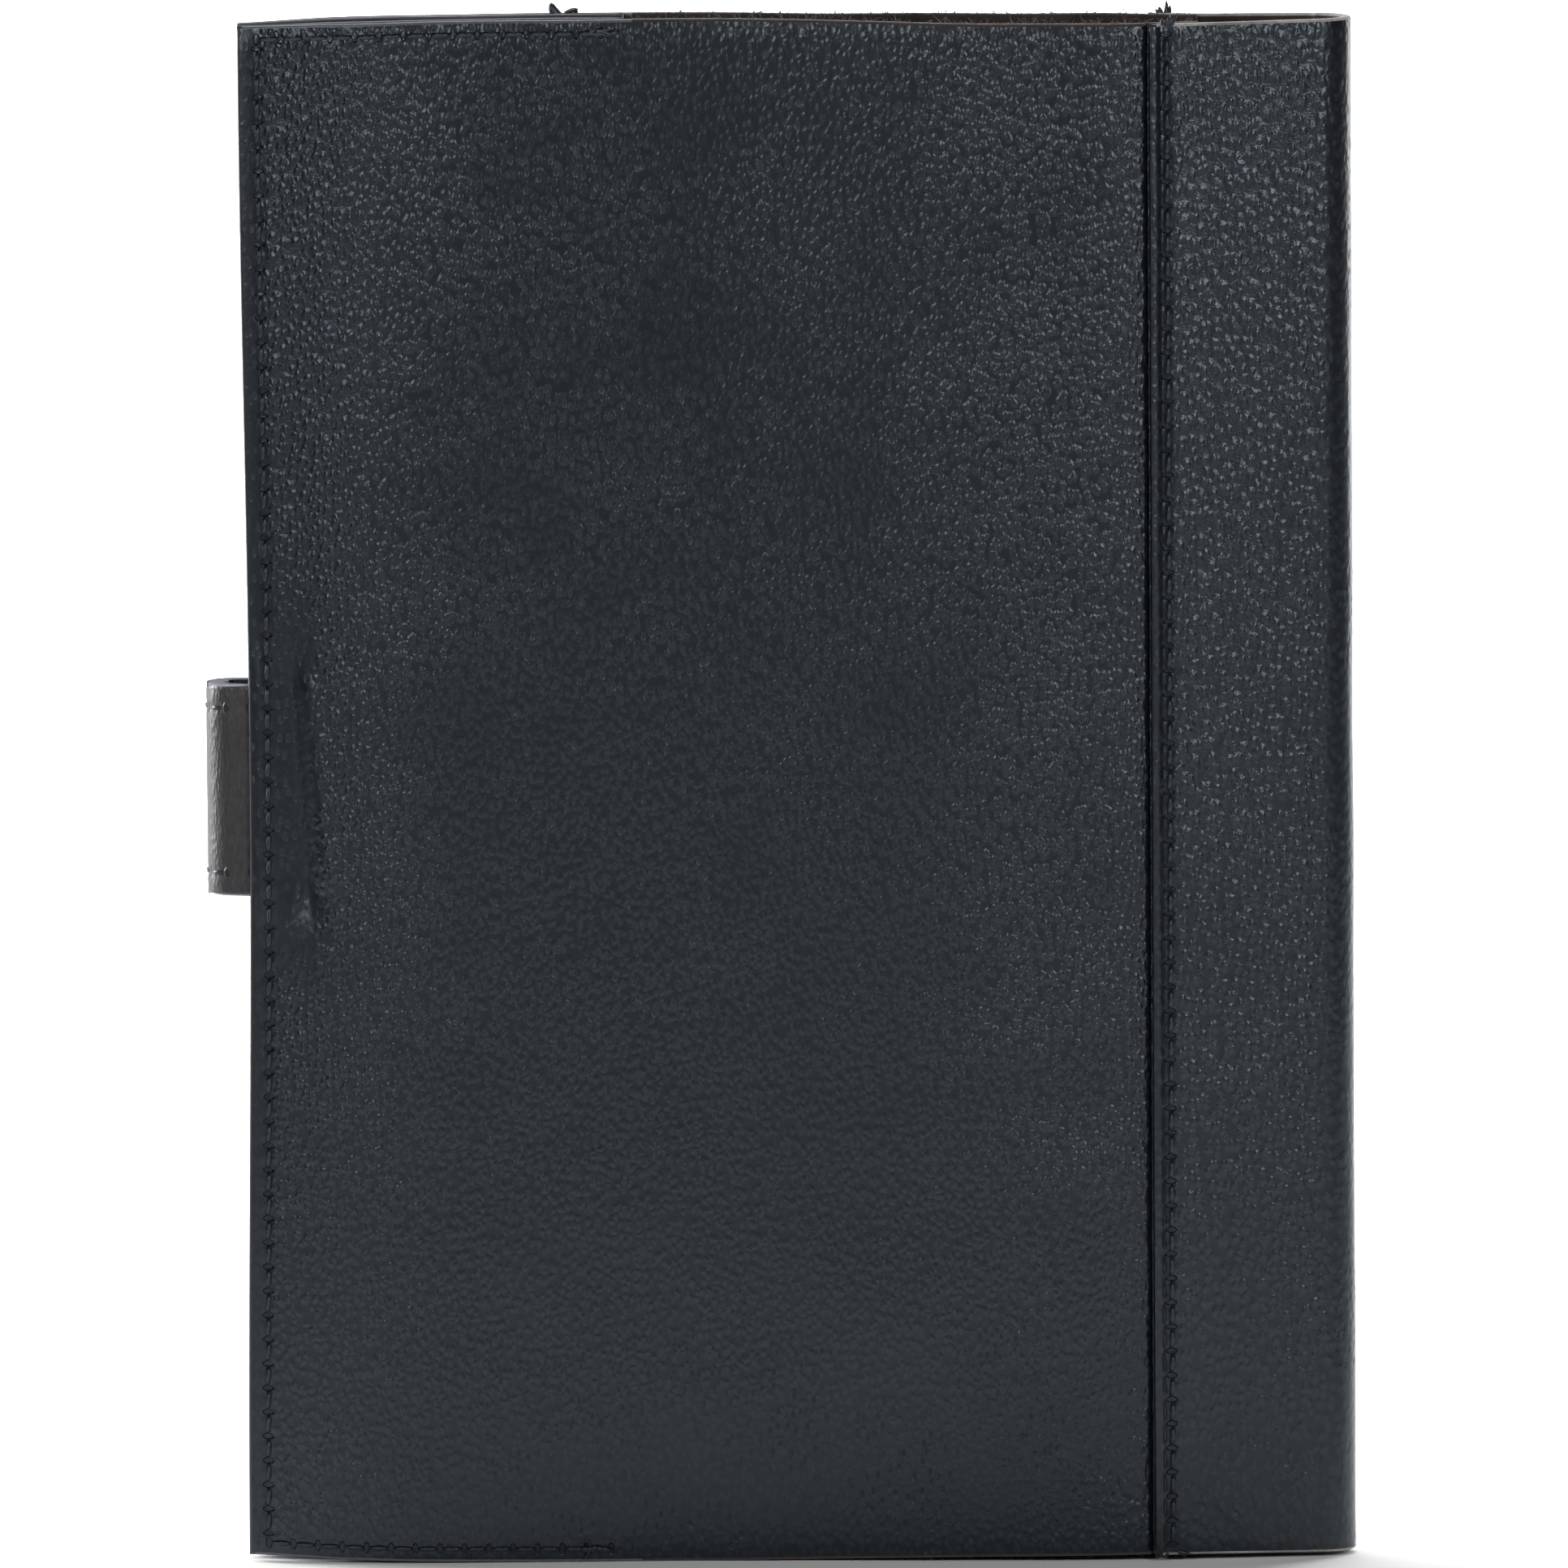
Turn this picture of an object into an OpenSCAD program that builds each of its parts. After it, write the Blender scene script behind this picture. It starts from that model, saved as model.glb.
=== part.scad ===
// Leather notebook cover with a snap strap, closed and standing on its lower edge.
// +Z is up, the spine is at +X, the fore-edge and the strap are at -X, and the back faces -Y.
// Shapes are drawn in cover coordinates: X is the distance from the fore-edge, and Y is the
// distance from the plane midway between the two covers. placed() moves them into the frame.

/* [Cover] */
// Height of the cover
cover_h = 220; // [150:1:300]
// Width of the closed cover, from the fore-edge to the outside of the spine
cover_w = 158.5; // [125:0.5:230]
// Closed thickness over the two panels at the crest, where it is greatest
body_t = 16; // [12:0.1:30]
// Distance of the crest from the outside of the spine
crest_back = 34.5; // [20:0.5:60]
// Width over which each panel swells from the fore-edge
swell_w = 21; // [15:1:34]

/* [Leather] */
// Thickness of each panel
panel_t = 1.3; // [0.8:0.1:2]
// Thickness of each pocket
pocket_t = 1.0; // [0.6:0.1:1.5]
// Thickness of the spine piece
spine_t = 1.2; // [0.8:0.1:2]

/* [Spine] */
// Width of the spine piece that shows on each cover
spine_show = 28.8; // [20:0.5:36]
// How far the round of the spine stands out beyond the covers
spine_depth = 5.5; // [4:0.1:10]
// Closed thickness over the two covers where the round of the spine starts
spine_in_t = 8.2; // [7:0.1:14]
// Overlap of the spine piece on each panel
seam_lap = 7; // [5:0.1:12]

/* [Pockets] */
// Width of each pocket
pocket_w = 55; // [40:1:75]
// Width of the margin that joins a pocket to its panel
pocket_margin = 5; // [4:0.1:9]
// Gap between the two pockets at their mouths
mouth_gap = 1.6; // [1.5:0.1:3]
// Gap left between the two pockets over the root of the strap
root_gap = 0.6; // [0.4:0.1:2]

/* [Stitching] */
// Length of thread that shows in each stitch
stitch_l = 2.6; // [1.5:0.1:3]
// Distance from one stitch to the next
stitch_pitch = 3.5; // [3.2:0.1:6]
// Thickness of the thread
thread_d = 0.6; // [0.3:0.05:0.8]
// Distance of the edge stitching from the edge
edge_inset = 2.8; // [2:0.1:4]
// Distance of the seam stitching from the folded edge of the spine piece
seam_inset = 2.5; // [2:0.1:4]

/* [Strap] */
// Width of the strap
strap_w = 30.5; // [18:0.5:45]
// Height of the middle of the strap above the lower edge
strap_z = 111.2; // [60:0.5:160]
// Thickness of the face leather of the strap
strap_face_t = 1.3; // [0.8:0.1:2]
// Thickness of the lining of the strap
strap_lining_t = 1.1; // [0.6:0.1:2]
// Straight stretch of the strap between the fore-edge and its bend
strap_straight = 1.0; // [0.6:0.1:6]
// Length of the strap root, between the back panel and its pocket
strap_root_l = 10; // [7:0.5:20]
// Length of the strap over the front cover
strap_tail_l = 42; // [35:0.5:70]
// Corner radius at the tip of the strap
strap_tip_r = 12; // [4:0.5:14]
// Clearance between the strap and the edge stitching under it
strap_clear = 0.2; // [0.1:0.05:1]
// Distance of the strap stitching from its edge
strap_inset = 3.4; // [2:0.1:5]

/* [Snap] */
// Distance of the snap from the fore-edge
snap_s = 27; // [20:0.5:40]
// Diameter of the cap
cap_d = 12.5; // [8:0.5:16]
// Height of the cap
cap_h = 1.3; // [0.8:0.1:2.5]
// Diameter of the socket flange
socket_d = 11; // [9:0.5:14]
// Diameter of the stud flange
stud_d = 10; // [8:0.5:14]
// Height of the stud
stud_h = 1.8; // [1.5:0.1:2.1]
// Diameter of the stud head
head_d = 4.6; // [4:0.1:6]
// Diameter of the stems through the leather
stem_d = 3.0; // [2:0.1:3.4]
// Thickness of the metal flanges
flange_t = 0.5; // [0.3:0.05:0.8]
// Diameter of the leather patch behind the stud
patch_d = 17; // [12:0.5:24]
// Thickness of the leather patch behind the stud
patch_t = 0.8; // [0.5:0.1:1.2]

/* [Hidden] */
$fn = 64;
// Clearance between pieces that are glued or sewn face to face
seat = 0.05;
// Clearance on each side of a fold line, between the bodies that turn on it
fold_gap = 0.15;
// Clearance round a stem in its hole, and round the stud head in its socket
hole_gap = 0.05;
head_gap = 0.3;
// Clearance between the flange of the stud and the flange of the socket
flange_gap = 0.1;
// Clearance between the snap post and the pocket over it
post_gap = 0.25;
// Flat stretch of each panel beyond the mouth of its pocket
waist_run = 5;
// Straight steps along each swelling or round stretch
steps = 20;

// Closed thickness at the fore-edge: two panels, two pockets, the strap root and a gap
fore_t = 2 * (panel_t + pocket_t) + strap_face_t + 2 * seat + root_gap;
fore_half = fore_t / 2;
body_half = body_t / 2;
// The waist: two pockets and two panels, with room in each pocket for the snap post
waist_half = mouth_gap / 2 + pocket_t + patch_t + flange_t + 3 * seat + post_gap + panel_t;
waist_s = pocket_w + waist_run;
// Where the spine piece starts, and where its round starts
seam_s = cover_w - spine_show;
round_s = cover_w - spine_depth;
crest_s = cover_w - crest_back;
round_half = spine_in_t / 2 + seat + spine_t;
panel_w = seam_s + seam_lap;
// Angle on the round at which the leather has turned by 45 degrees: the fold line
fold_a = atan(round_half / spine_depth);
fold_gap_a = fold_gap / norm([spine_depth * sin(fold_a), round_half * cos(fold_a)]) * 180 / PI;

// The strap leaves the cover against the back panel and turns round to the front
root_y = -(fore_half - panel_t - seat);
strap_lift = seat + thread_d + strap_clear;
tail_y = fore_half + strap_lift;
strap_t = strap_lining_t + seat + strap_face_t;
bend_r = (tail_y + strap_t - root_y) / 2;
bend_c = [-strap_straight, root_y + bend_r];
bend_gap_a = fold_gap / bend_r * 180 / PI;
strap_out = strap_straight + bend_r;
strap_lo = strap_z - strap_w / 2;
lining_r = bend_r - strap_face_t - seat;
// Height of the strap above the front panel at the snap: the two flanges lie between them
snap_gap = 2 * flange_t + flange_gap + 2 * seat;
snap_land = 8;
snap_tilt = atan(slope(snap_s));
snap_y = half(snap_s);
cap_z = snap_gap + strap_t + seat;
cap_flat_r = cap_d / 2 - 1.2;

// The frame's origin is the middle of the base of the whole cover's box
fore_x = (strap_out + seat + thread_d - cover_w) / 2;
back_y = -(half(seam_s + seam_inset) + spine_t + thread_d + 2 * seat);
front_y = snap_y + (cap_z + cap_h) * cos(snap_tilt) + cap_flat_r * sin(snap_tilt);
mid_y = -(back_y + front_y) / 2;

// Distance of a panel's outer face from the middle plane, and its slope
function ease(u) = let (v = max(0, min(1, u))) v * v * (3 - 2 * v);
function half(s) = s <= swell_w
    ? fore_half + (waist_half - fore_half) * (1 - pow(1 - s / swell_w, 2))
    : s <= crest_s ? waist_half + (body_half - waist_half) * ease((s - waist_s) / (crest_s - waist_s))
    : body_half - (body_half - spine_in_t / 2) * ease((s - crest_s) / (round_s - crest_s));
function slope(s) = s >= swell_w ? 0
    : 2 * (waist_half - fore_half) * (1 - s / swell_w) / swell_w;
// Distance of a pocket's inner face from the middle plane
function pocket_in(s) = fore_half - panel_t - pocket_t
    + (mouth_gap / 2 - (fore_half - panel_t - pocket_t)) * s / pocket_w;
// Height of the strap's inner face above the front panel
function lift(s) = strap_lift + (snap_gap - strap_lift) * ease(s / (snap_s - snap_land));
// Stations from one place to another
function stations(a, b) = [for (i = [0:steps]) a + (b - a) * i / steps];
function panel_stations() = concat(stations(0, swell_w), stations(waist_s, crest_s),
                                   stations(crest_s + 0.5, panel_w));
function reversed(list) = [for (i = [len(list) - 1:-1:0]) list[i]];
function round_pt(a, in) = [round_s + (spine_depth - in) * cos(a), (round_half - in) * sin(a)];
function bend_pt(a, r) = bend_c + r * [cos(a), sin(a)];

module placed() {
    translate([fore_x, mid_y, 0]) children();
}

// Turns the front half of the cover over to make the back half
module to_back() {
    mirror([0, 1, 0]) children();
}

// One panel of the front cover
module panel() {
    at = panel_stations();
    linear_extrude(cover_h)
        polygon(concat([for (s = at) [s, half(s)]],
                       [for (s = reversed(at)) [s, half(s) - panel_t]]));
}

// One pocket of the front cover: a flap that is joined to the panel along three margins
module pocket() {
    at = stations(0, pocket_w);
    hollow = stations(pocket_margin, pocket_w + 1);
    difference() {
        linear_extrude(cover_h)
            polygon(concat([for (s = at) [s, half(s) - panel_t - seat]],
                           [for (s = reversed(at)) [s, pocket_in(s)]]));
        translate([0, 0, pocket_margin])
            linear_extrude(cover_h - 2 * pocket_margin)
                polygon(concat([for (s = hollow) [s, half(s) - panel_t + 1]],
                               [for (s = reversed(hollow)) [s, pocket_in(s) + pocket_t]]));
    }
}

// Block over the root of the strap: its length, the width beyond the strap, and its top
module root_block(from, to, side, top) {
    translate([from, -fore_half, strap_lo - side])
        cube([to - from, fore_half + top, strap_w + 2 * side]);
}

// The part of the spine piece that lies on the front cover, up to an angle on its round
module wing(to_a) {
    arc = [for (i = [1:steps]) 90 + (to_a - 90) * i / steps];
    at = stations(seam_s, round_s);
    linear_extrude(cover_h)
        polygon(concat([for (s = at) [s, half(s) + seat + spine_t]],
                       [for (a = arc) round_pt(a, 0)],
                       [for (a = reversed(arc)) round_pt(a, spine_t)],
                       [for (s = reversed(at)) [s, half(s) + seat]]));
}

// Row of stitches up the cover at a distance from the fore-edge, between two heights
module stitches_up(s, y, from, to) {
    n = floor((to - from) / stitch_pitch);
    start = (from + to - n * stitch_pitch) / 2 + (stitch_pitch - stitch_l) / 2;
    for (i = [0:n - 1])
        translate([s, y, start + i * stitch_pitch]) cylinder(h = stitch_l, d = thread_d);
}

// One stitch along the cover, between two points of a cross-section
module stitch_along(p, q, z) {
    translate([p.x, p.y, z])
        rotate([0, 0, atan2(q.y - p.y, q.x - p.x)])
            rotate([0, 90, 0]) cylinder(h = norm(q - p), d = thread_d);
}

// Edge stitching of the front cover: the outer thread, and the inner thread clear of the strap
module edge_stitches() {
    out_y = thread_d / 2 + seat;
    in_s = edge_inset;
    clear = strap_w / 2 + stitch_pitch;
    n = floor((pocket_w - 2 * edge_inset) / stitch_pitch);
    stitches_up(edge_inset, half(edge_inset) + out_y, edge_inset, cover_h - edge_inset);
    stitches_up(in_s, pocket_in(in_s) - out_y, edge_inset, strap_z - clear);
    stitches_up(in_s, pocket_in(in_s) - out_y, strap_z + clear, cover_h - edge_inset);
    for (z = [edge_inset, cover_h - edge_inset])
        for (i = [0:n - 1]) {
            a = edge_inset + thread_d + (stitch_pitch - stitch_l) + i * stitch_pitch;
            b = a + stitch_l;
            stitch_along([a, half(a) + out_y + seat], [b, half(b) + out_y + seat], z);
            stitch_along([a, pocket_in(a) - out_y], [b, pocket_in(b) - out_y], z);
        }
}

// Seam stitching of the front cover: the outer thread and the inner thread
module seam_stitches() {
    s = seam_s + seam_inset;
    stitches_up(s, half(s) + spine_t + thread_d / 2 + 2 * seat, 0, cover_h);
    stitches_up(s, half(s) - panel_t - thread_d / 2 - seat, 0, cover_h);
}

// Part of the bend of the strap, between two angles and two radii
module bend(from_a, to_a, r, t) {
    arc = [for (i = [0:steps]) from_a + (to_a - from_a) * i / steps];
    translate([0, 0, strap_lo])
        linear_extrude(strap_w)
            polygon(concat([for (a = arc) bend_pt(a, r)],
                           [for (a = reversed(arc)) bend_pt(a, r - t)]));
}

// One layer of the strap over the front cover, with its rounded tip
module tail_layer(from, t, r) {
    at = stations(0, strap_tail_l);
    bend(90, 135 - bend_gap_a, r, t);
    intersection() {
        translate([0, 0, strap_lo])
            linear_extrude(strap_w)
                polygon(concat([[-strap_straight, half(0) + lift(0) + from + t]],
                               [for (s = at) [s, half(s) + lift(s) + from + t]],
                               [for (s = reversed(at)) [s, half(s) + lift(s) + from]],
                               [[-strap_straight, half(0) + lift(0) + from]]));
        strap_outline();
    }
}

// Outline of the strap seen from the front, as a block through the whole cover
module strap_outline() {
    flat_l = strap_tail_l - strap_tip_r;
    translate([-strap_straight, 0, strap_lo])
        cube([strap_straight + flat_l, body_t + cap_z, strap_w]);
    translate([0, 0, strap_lo + strap_tip_r])
        cube([strap_tail_l, body_t + cap_z, strap_w - 2 * strap_tip_r]);
    for (z = [strap_lo + strap_tip_r, strap_lo + strap_w - strap_tip_r])
        translate([flat_l, 0, z])
            rotate([-90, 0, 0]) cylinder(h = body_t + cap_z, r = strap_tip_r);
}

// Stands its children on the front panel at the snap, square to the panel
module on_snap() {
    translate([snap_s, snap_y, strap_z])
        rotate([0, 0, snap_tilt]) rotate([-90, 0, 0]) children();
}

module snap_hole(d) {
    on_snap() translate([0, 0, -body_half]) cylinder(h = 2 * body_t, d = d);
}

module back_panel() {
    color("#2b2e33") placed() to_back() panel();
}

module back_pocket() {
    tongue = strap_root_l + seat;
    root_top = root_y + strap_face_t + seat;
    color("#33302f") placed() difference() {
        union() {
            to_back() pocket();
            intersection() {
                root_block(0, tongue + pocket_t, seat + pocket_t, root_top + pocket_t);
                to_back() translate([0, -cover_w, 0])
                    linear_extrude(cover_h)
                        polygon(concat([for (s = stations(0, pocket_w))
                                           [s, cover_w + half(s) - panel_t - seat]],
                                       [[pocket_w, 0], [0, 0]]));
            }
        }
        root_block(-1, tongue, seat, root_top);
    }
}

module back_edge_stitching() {
    color("#141416") placed() to_back() edge_stitches();
}

module back_seam_stitching() {
    color("#141416") placed() to_back() seam_stitches();
}

module spine_back_wing() {
    color("#2f3236") placed() to_back() wing(fold_a + fold_gap_a);
}

module spine_wrap() {
    end_a = fold_a - fold_gap_a;
    arc = [for (i = [-steps:steps]) end_a * i / steps];
    color("#2a2c30") placed()
        linear_extrude(cover_h)
            polygon(concat([for (a = arc) round_pt(a, 0)],
                           [for (a = reversed(arc)) round_pt(a, spine_t)]));
}

module spine_front_wing() {
    color("#2f3236") placed() wing(fold_a + fold_gap_a);
}

module front_seam_stitching() {
    color("#141416") placed() seam_stitches();
}

module front_panel() {
    color("#2b2e33") placed() difference() {
        panel();
        snap_hole(stem_d + 2 * hole_gap);
    }
}

module front_pocket() {
    color("#33302f") placed() pocket();
}

module front_edge_stitching() {
    color("#141416") placed() edge_stitches();
}

module strap_root_leather() {
    at = stations(0, strap_root_l);
    color("#4a4748") placed() {
        translate([0, 0, strap_lo])
            linear_extrude(strap_w)
                polygon(concat([[-strap_straight, root_y]],
                               [for (s = at) [s, -(half(s) - panel_t - seat)]],
                               [[strap_root_l, root_y + strap_face_t]],
                               [[-strap_straight, root_y + strap_face_t]]));
        bend(270, 225 + bend_gap_a, bend_r, strap_face_t);
    }
}

module strap_root_lining() {
    start = 2 * seat;
    color("#3a3738") placed() {
        translate([-strap_straight, bend_c.y - lining_r, strap_lo])
            cube([strap_straight - start, strap_lining_t, strap_w]);
        bend(270, 225 + bend_gap_a, lining_r, strap_lining_t);
    }
}

// Stitches across part of the bend, on both rows of the strap
module bend_stitches(mid_a) {
    a = stitch_l / bend_r * 90 / PI;
    r = (bend_r + seat + thread_d / 2) / cos(a);
    for (z = [strap_lo + strap_inset, strap_lo + strap_w - strap_inset])
        stitch_along(bend_pt(mid_a + a, r), bend_pt(mid_a - a, r), z);
}

module strap_root_stitching() {
    color("#141416") placed() bend_stitches(247);
}

module strap_bend_leather() {
    color("#4a4748") placed() bend(135 + bend_gap_a, 225 - bend_gap_a, bend_r, strap_face_t);
}

module strap_bend_lining() {
    color("#3a3738") placed()
        bend(135 + bend_gap_a, 225 - bend_gap_a, lining_r, strap_lining_t);
}

module strap_bend_stitching() {
    color("#141416") placed() bend_stitches(180);
}

module strap_tail_leather() {
    color("#4a4748") placed() difference() {
        tail_layer(strap_lining_t + seat, strap_face_t, bend_r);
        snap_hole(stem_d + 2 * hole_gap);
    }
}

module strap_tail_lining() {
    color("#3a3738") placed() difference() {
        tail_layer(0, strap_lining_t, lining_r);
        snap_hole(head_d + 2 * head_gap + 2 * flange_t + 2 * hole_gap);
    }
}

module strap_tail_stitching() {
    y = strap_t + thread_d / 2 + 2 * seat;
    n = floor((strap_tail_l - strap_tip_r) / stitch_pitch);
    color("#141416") placed() for (z = [strap_lo + strap_inset, strap_lo + strap_w - strap_inset])
        for (i = [0:n - 1]) {
            a = 1 + i * stitch_pitch;
            b = a + stitch_l;
            stitch_along([a, half(a) + lift(a) + y], [b, half(b) + lift(b) + y], z);
        }
}

module snap_cap() {
    cup = 1.2;
    color("#8d8f92") placed() on_snap() {
        translate([0, 0, cap_z])
            rotate_extrude()
                polygon([[0, 0], [cap_d / 2, 0], [cap_d / 2, cap_h * 0.4],
                         [cap_d / 2 - cup / 2, cap_h * 0.85], [cap_flat_r, cap_h], [0, cap_h]]);
        translate([0, 0, snap_gap + strap_lining_t - flange_t / 2])
            cylinder(h = strap_face_t + flange_t / 2 + 3 * seat, d = stem_d);
    }
}

module snap_socket() {
    bowl_d = head_d + 2 * head_gap;
    low = snap_gap - seat - flange_t;
    top = snap_gap + strap_lining_t;
    roof = flange_t / 2 + seat;
    color("#8d8f92") placed() on_snap() difference() {
        union() {
            translate([0, 0, low]) cylinder(h = flange_t, d = socket_d);
            translate([0, 0, low]) cylinder(h = top - low, d = bowl_d + 2 * flange_t);
        }
        translate([0, 0, low - 1]) cylinder(h = top - roof - low + 1, d = bowl_d);
        translate([0, 0, low]) cylinder(h = top, d = stem_d + 2 * hole_gap);
    }
}

module snap_stud() {
    color("#8d8f92") placed() on_snap() difference() {
        translate([0, 0, seat])
            rotate_extrude()
                polygon([[0, 0], [stud_d / 2, 0], [stud_d / 2, flange_t],
                         [head_d / 2 - 0.2, flange_t], [head_d / 2, flange_t + 0.4],
                         [head_d / 2, stud_h - 0.4], [head_d / 2 - 0.3, stud_h - seat],
                         [0, stud_h - seat]]);
        translate([0, 0, -1]) cylinder(h = stud_h + 2, d = stem_d + 2 * hole_gap);
    }
}

module snap_post() {
    low = -(panel_t + seat + patch_t + seat + flange_t);
    color("#8d8f92") placed() on_snap() {
        translate([0, 0, low]) cylinder(h = flange_t, d = stud_d);
        translate([0, 0, low]) cylinder(h = stud_h - flange_t / 2 - low, d = stem_d);
    }
}

module snap_patch() {
    at = stations(0, pocket_w);
    color("#3b2f28") placed() difference() {
        intersection() {
            linear_extrude(cover_h)
                polygon(concat([for (s = at) [s, half(s) - panel_t - seat]],
                               [for (s = reversed(at)) [s, half(s) - panel_t - seat - patch_t]]));
            snap_hole(patch_d);
        }
        snap_hole(stem_d + 2 * hole_gap);
    }
}

back_panel();
back_pocket();
back_edge_stitching();
back_seam_stitching();
spine_back_wing();
spine_wrap();
spine_front_wing();
front_panel();
front_pocket();
front_edge_stitching();
front_seam_stitching();
strap_root_leather();
strap_root_lining();
strap_root_stitching();
strap_bend_leather();
strap_bend_lining();
strap_bend_stitching();
strap_tail_leather();
strap_tail_lining();
strap_tail_stitching();
snap_cap();
snap_socket();
snap_stud();
snap_post();
snap_patch();
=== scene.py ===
"""A leather notebook cover: panels, pockets, spine piece, snap strap and stitching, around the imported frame.

Each leather piece is cut flat, in metres, and then formed. X and Y lie in the leather, and Z goes through it.
"""

import math
import random
from functools import lru_cache

import bmesh
import bpy
import numpy as np
from bpy.props import FloatProperty, FloatVectorProperty, IntProperty, PointerProperty
from bpy.types import Operator, Panel, PropertyGroup
from mathutils import Matrix, Vector, noise


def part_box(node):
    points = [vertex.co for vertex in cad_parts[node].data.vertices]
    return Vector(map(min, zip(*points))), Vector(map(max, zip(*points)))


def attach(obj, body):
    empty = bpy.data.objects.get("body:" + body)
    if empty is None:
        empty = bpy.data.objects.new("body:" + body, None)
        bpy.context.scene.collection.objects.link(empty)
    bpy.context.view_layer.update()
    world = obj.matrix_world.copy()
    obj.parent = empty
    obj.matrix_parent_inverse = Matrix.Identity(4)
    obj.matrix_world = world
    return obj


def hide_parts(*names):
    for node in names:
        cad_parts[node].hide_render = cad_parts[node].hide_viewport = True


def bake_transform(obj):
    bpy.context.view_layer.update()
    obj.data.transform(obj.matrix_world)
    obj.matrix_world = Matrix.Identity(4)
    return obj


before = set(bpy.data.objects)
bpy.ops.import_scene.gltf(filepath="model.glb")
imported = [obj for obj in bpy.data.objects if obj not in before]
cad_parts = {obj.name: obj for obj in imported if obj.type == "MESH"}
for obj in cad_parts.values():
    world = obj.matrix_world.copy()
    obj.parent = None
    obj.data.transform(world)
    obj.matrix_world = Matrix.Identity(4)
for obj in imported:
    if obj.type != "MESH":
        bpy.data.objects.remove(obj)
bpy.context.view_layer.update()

bl_info = {
    "name": "Leather Notebook Cover",
    "version": (1, 0, 0),
    "blender": (4, 5, 0),
    "location": "3D View > Sidebar > Cover",
    "description": "Makes a soft leather notebook cover with a snap strap",
    "category": "Add Mesh",
}

MM = 0.001


def srgb(code):
    """Linear colour of an sRGB hex value, with an alpha of 1."""
    parts = [int(code[i : i + 2], 16) / 255 for i in (1, 3, 5)]
    return [c / 12.92 if c <= 0.04045 else ((c + 0.055) / 1.055) ** 2.4 for c in parts] + [1.0]


# Places that every piece is formed from, read off the frame.
back_low, back_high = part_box("back_panel")
front_low, front_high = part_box("front_panel")
pocket_low, pocket_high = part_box("back_pocket")
wrap_low, wrap_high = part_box("spine_wrap")
wing_low, wing_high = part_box("spine_front_wing")
bend_low, bend_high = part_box("strap_bend_leather")
tail_low, tail_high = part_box("strap_tail_leather")
cap_low, cap_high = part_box("snap_cap")

FORE_X = back_low.x
MID_Y = (back_low.y + front_high.y) / 2
HEIGHT = back_high.z
PANEL_W = back_high.x - back_low.x
POCKET_W = pocket_high.x - pocket_low.x
SEAM_S = wing_low.x - FORE_X
COVER_W = wrap_high.x - FORE_X
STRAP_MID = (tail_low.z + tail_high.z) / 2
STRAP_W = tail_high.z - tail_low.z
TAIL_END = tail_high.x


def skin_line(node, side, keep=lambda x: True):
    """Stations along X of a node's outer skin, and its distance from the middle plane at each."""
    far = {}
    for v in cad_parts[node].data.vertices:
        x = round(v.co.x, 5)
        if keep(x):
            far[x] = max(far.get(x, -1.0), side * (v.co.y - MID_Y))
    xs = tuple(sorted(far))
    return xs, tuple(far[x] for x in xs)


@lru_cache(maxsize=None)
def reading(line, x, blur=1.3 * MM):
    """Distance from the middle plane on a skin line, eased over its straight steps."""
    return float(np.mean(np.interp([x - blur, x - blur / 2, x, x + blur / 2, x + blur], *line)))


PANEL_LINE = skin_line("front_panel", 1)
WING_LINE = skin_line("spine_front_wing", 1)
TAIL_LINE = skin_line("strap_tail_leather", 1, lambda x: x >= FORE_X - 1.0 * MM)


def ease(u):
    """0 to 1 along a smooth rise."""
    u = min(1.0, max(0.0, u))
    return u * u * (3 - 2 * u)


def hump(x, middle, width):
    """1 at the middle, falling off on both sides."""
    return math.exp(-(((x - middle) / width) ** 2))


# ---- settings ----


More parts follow.
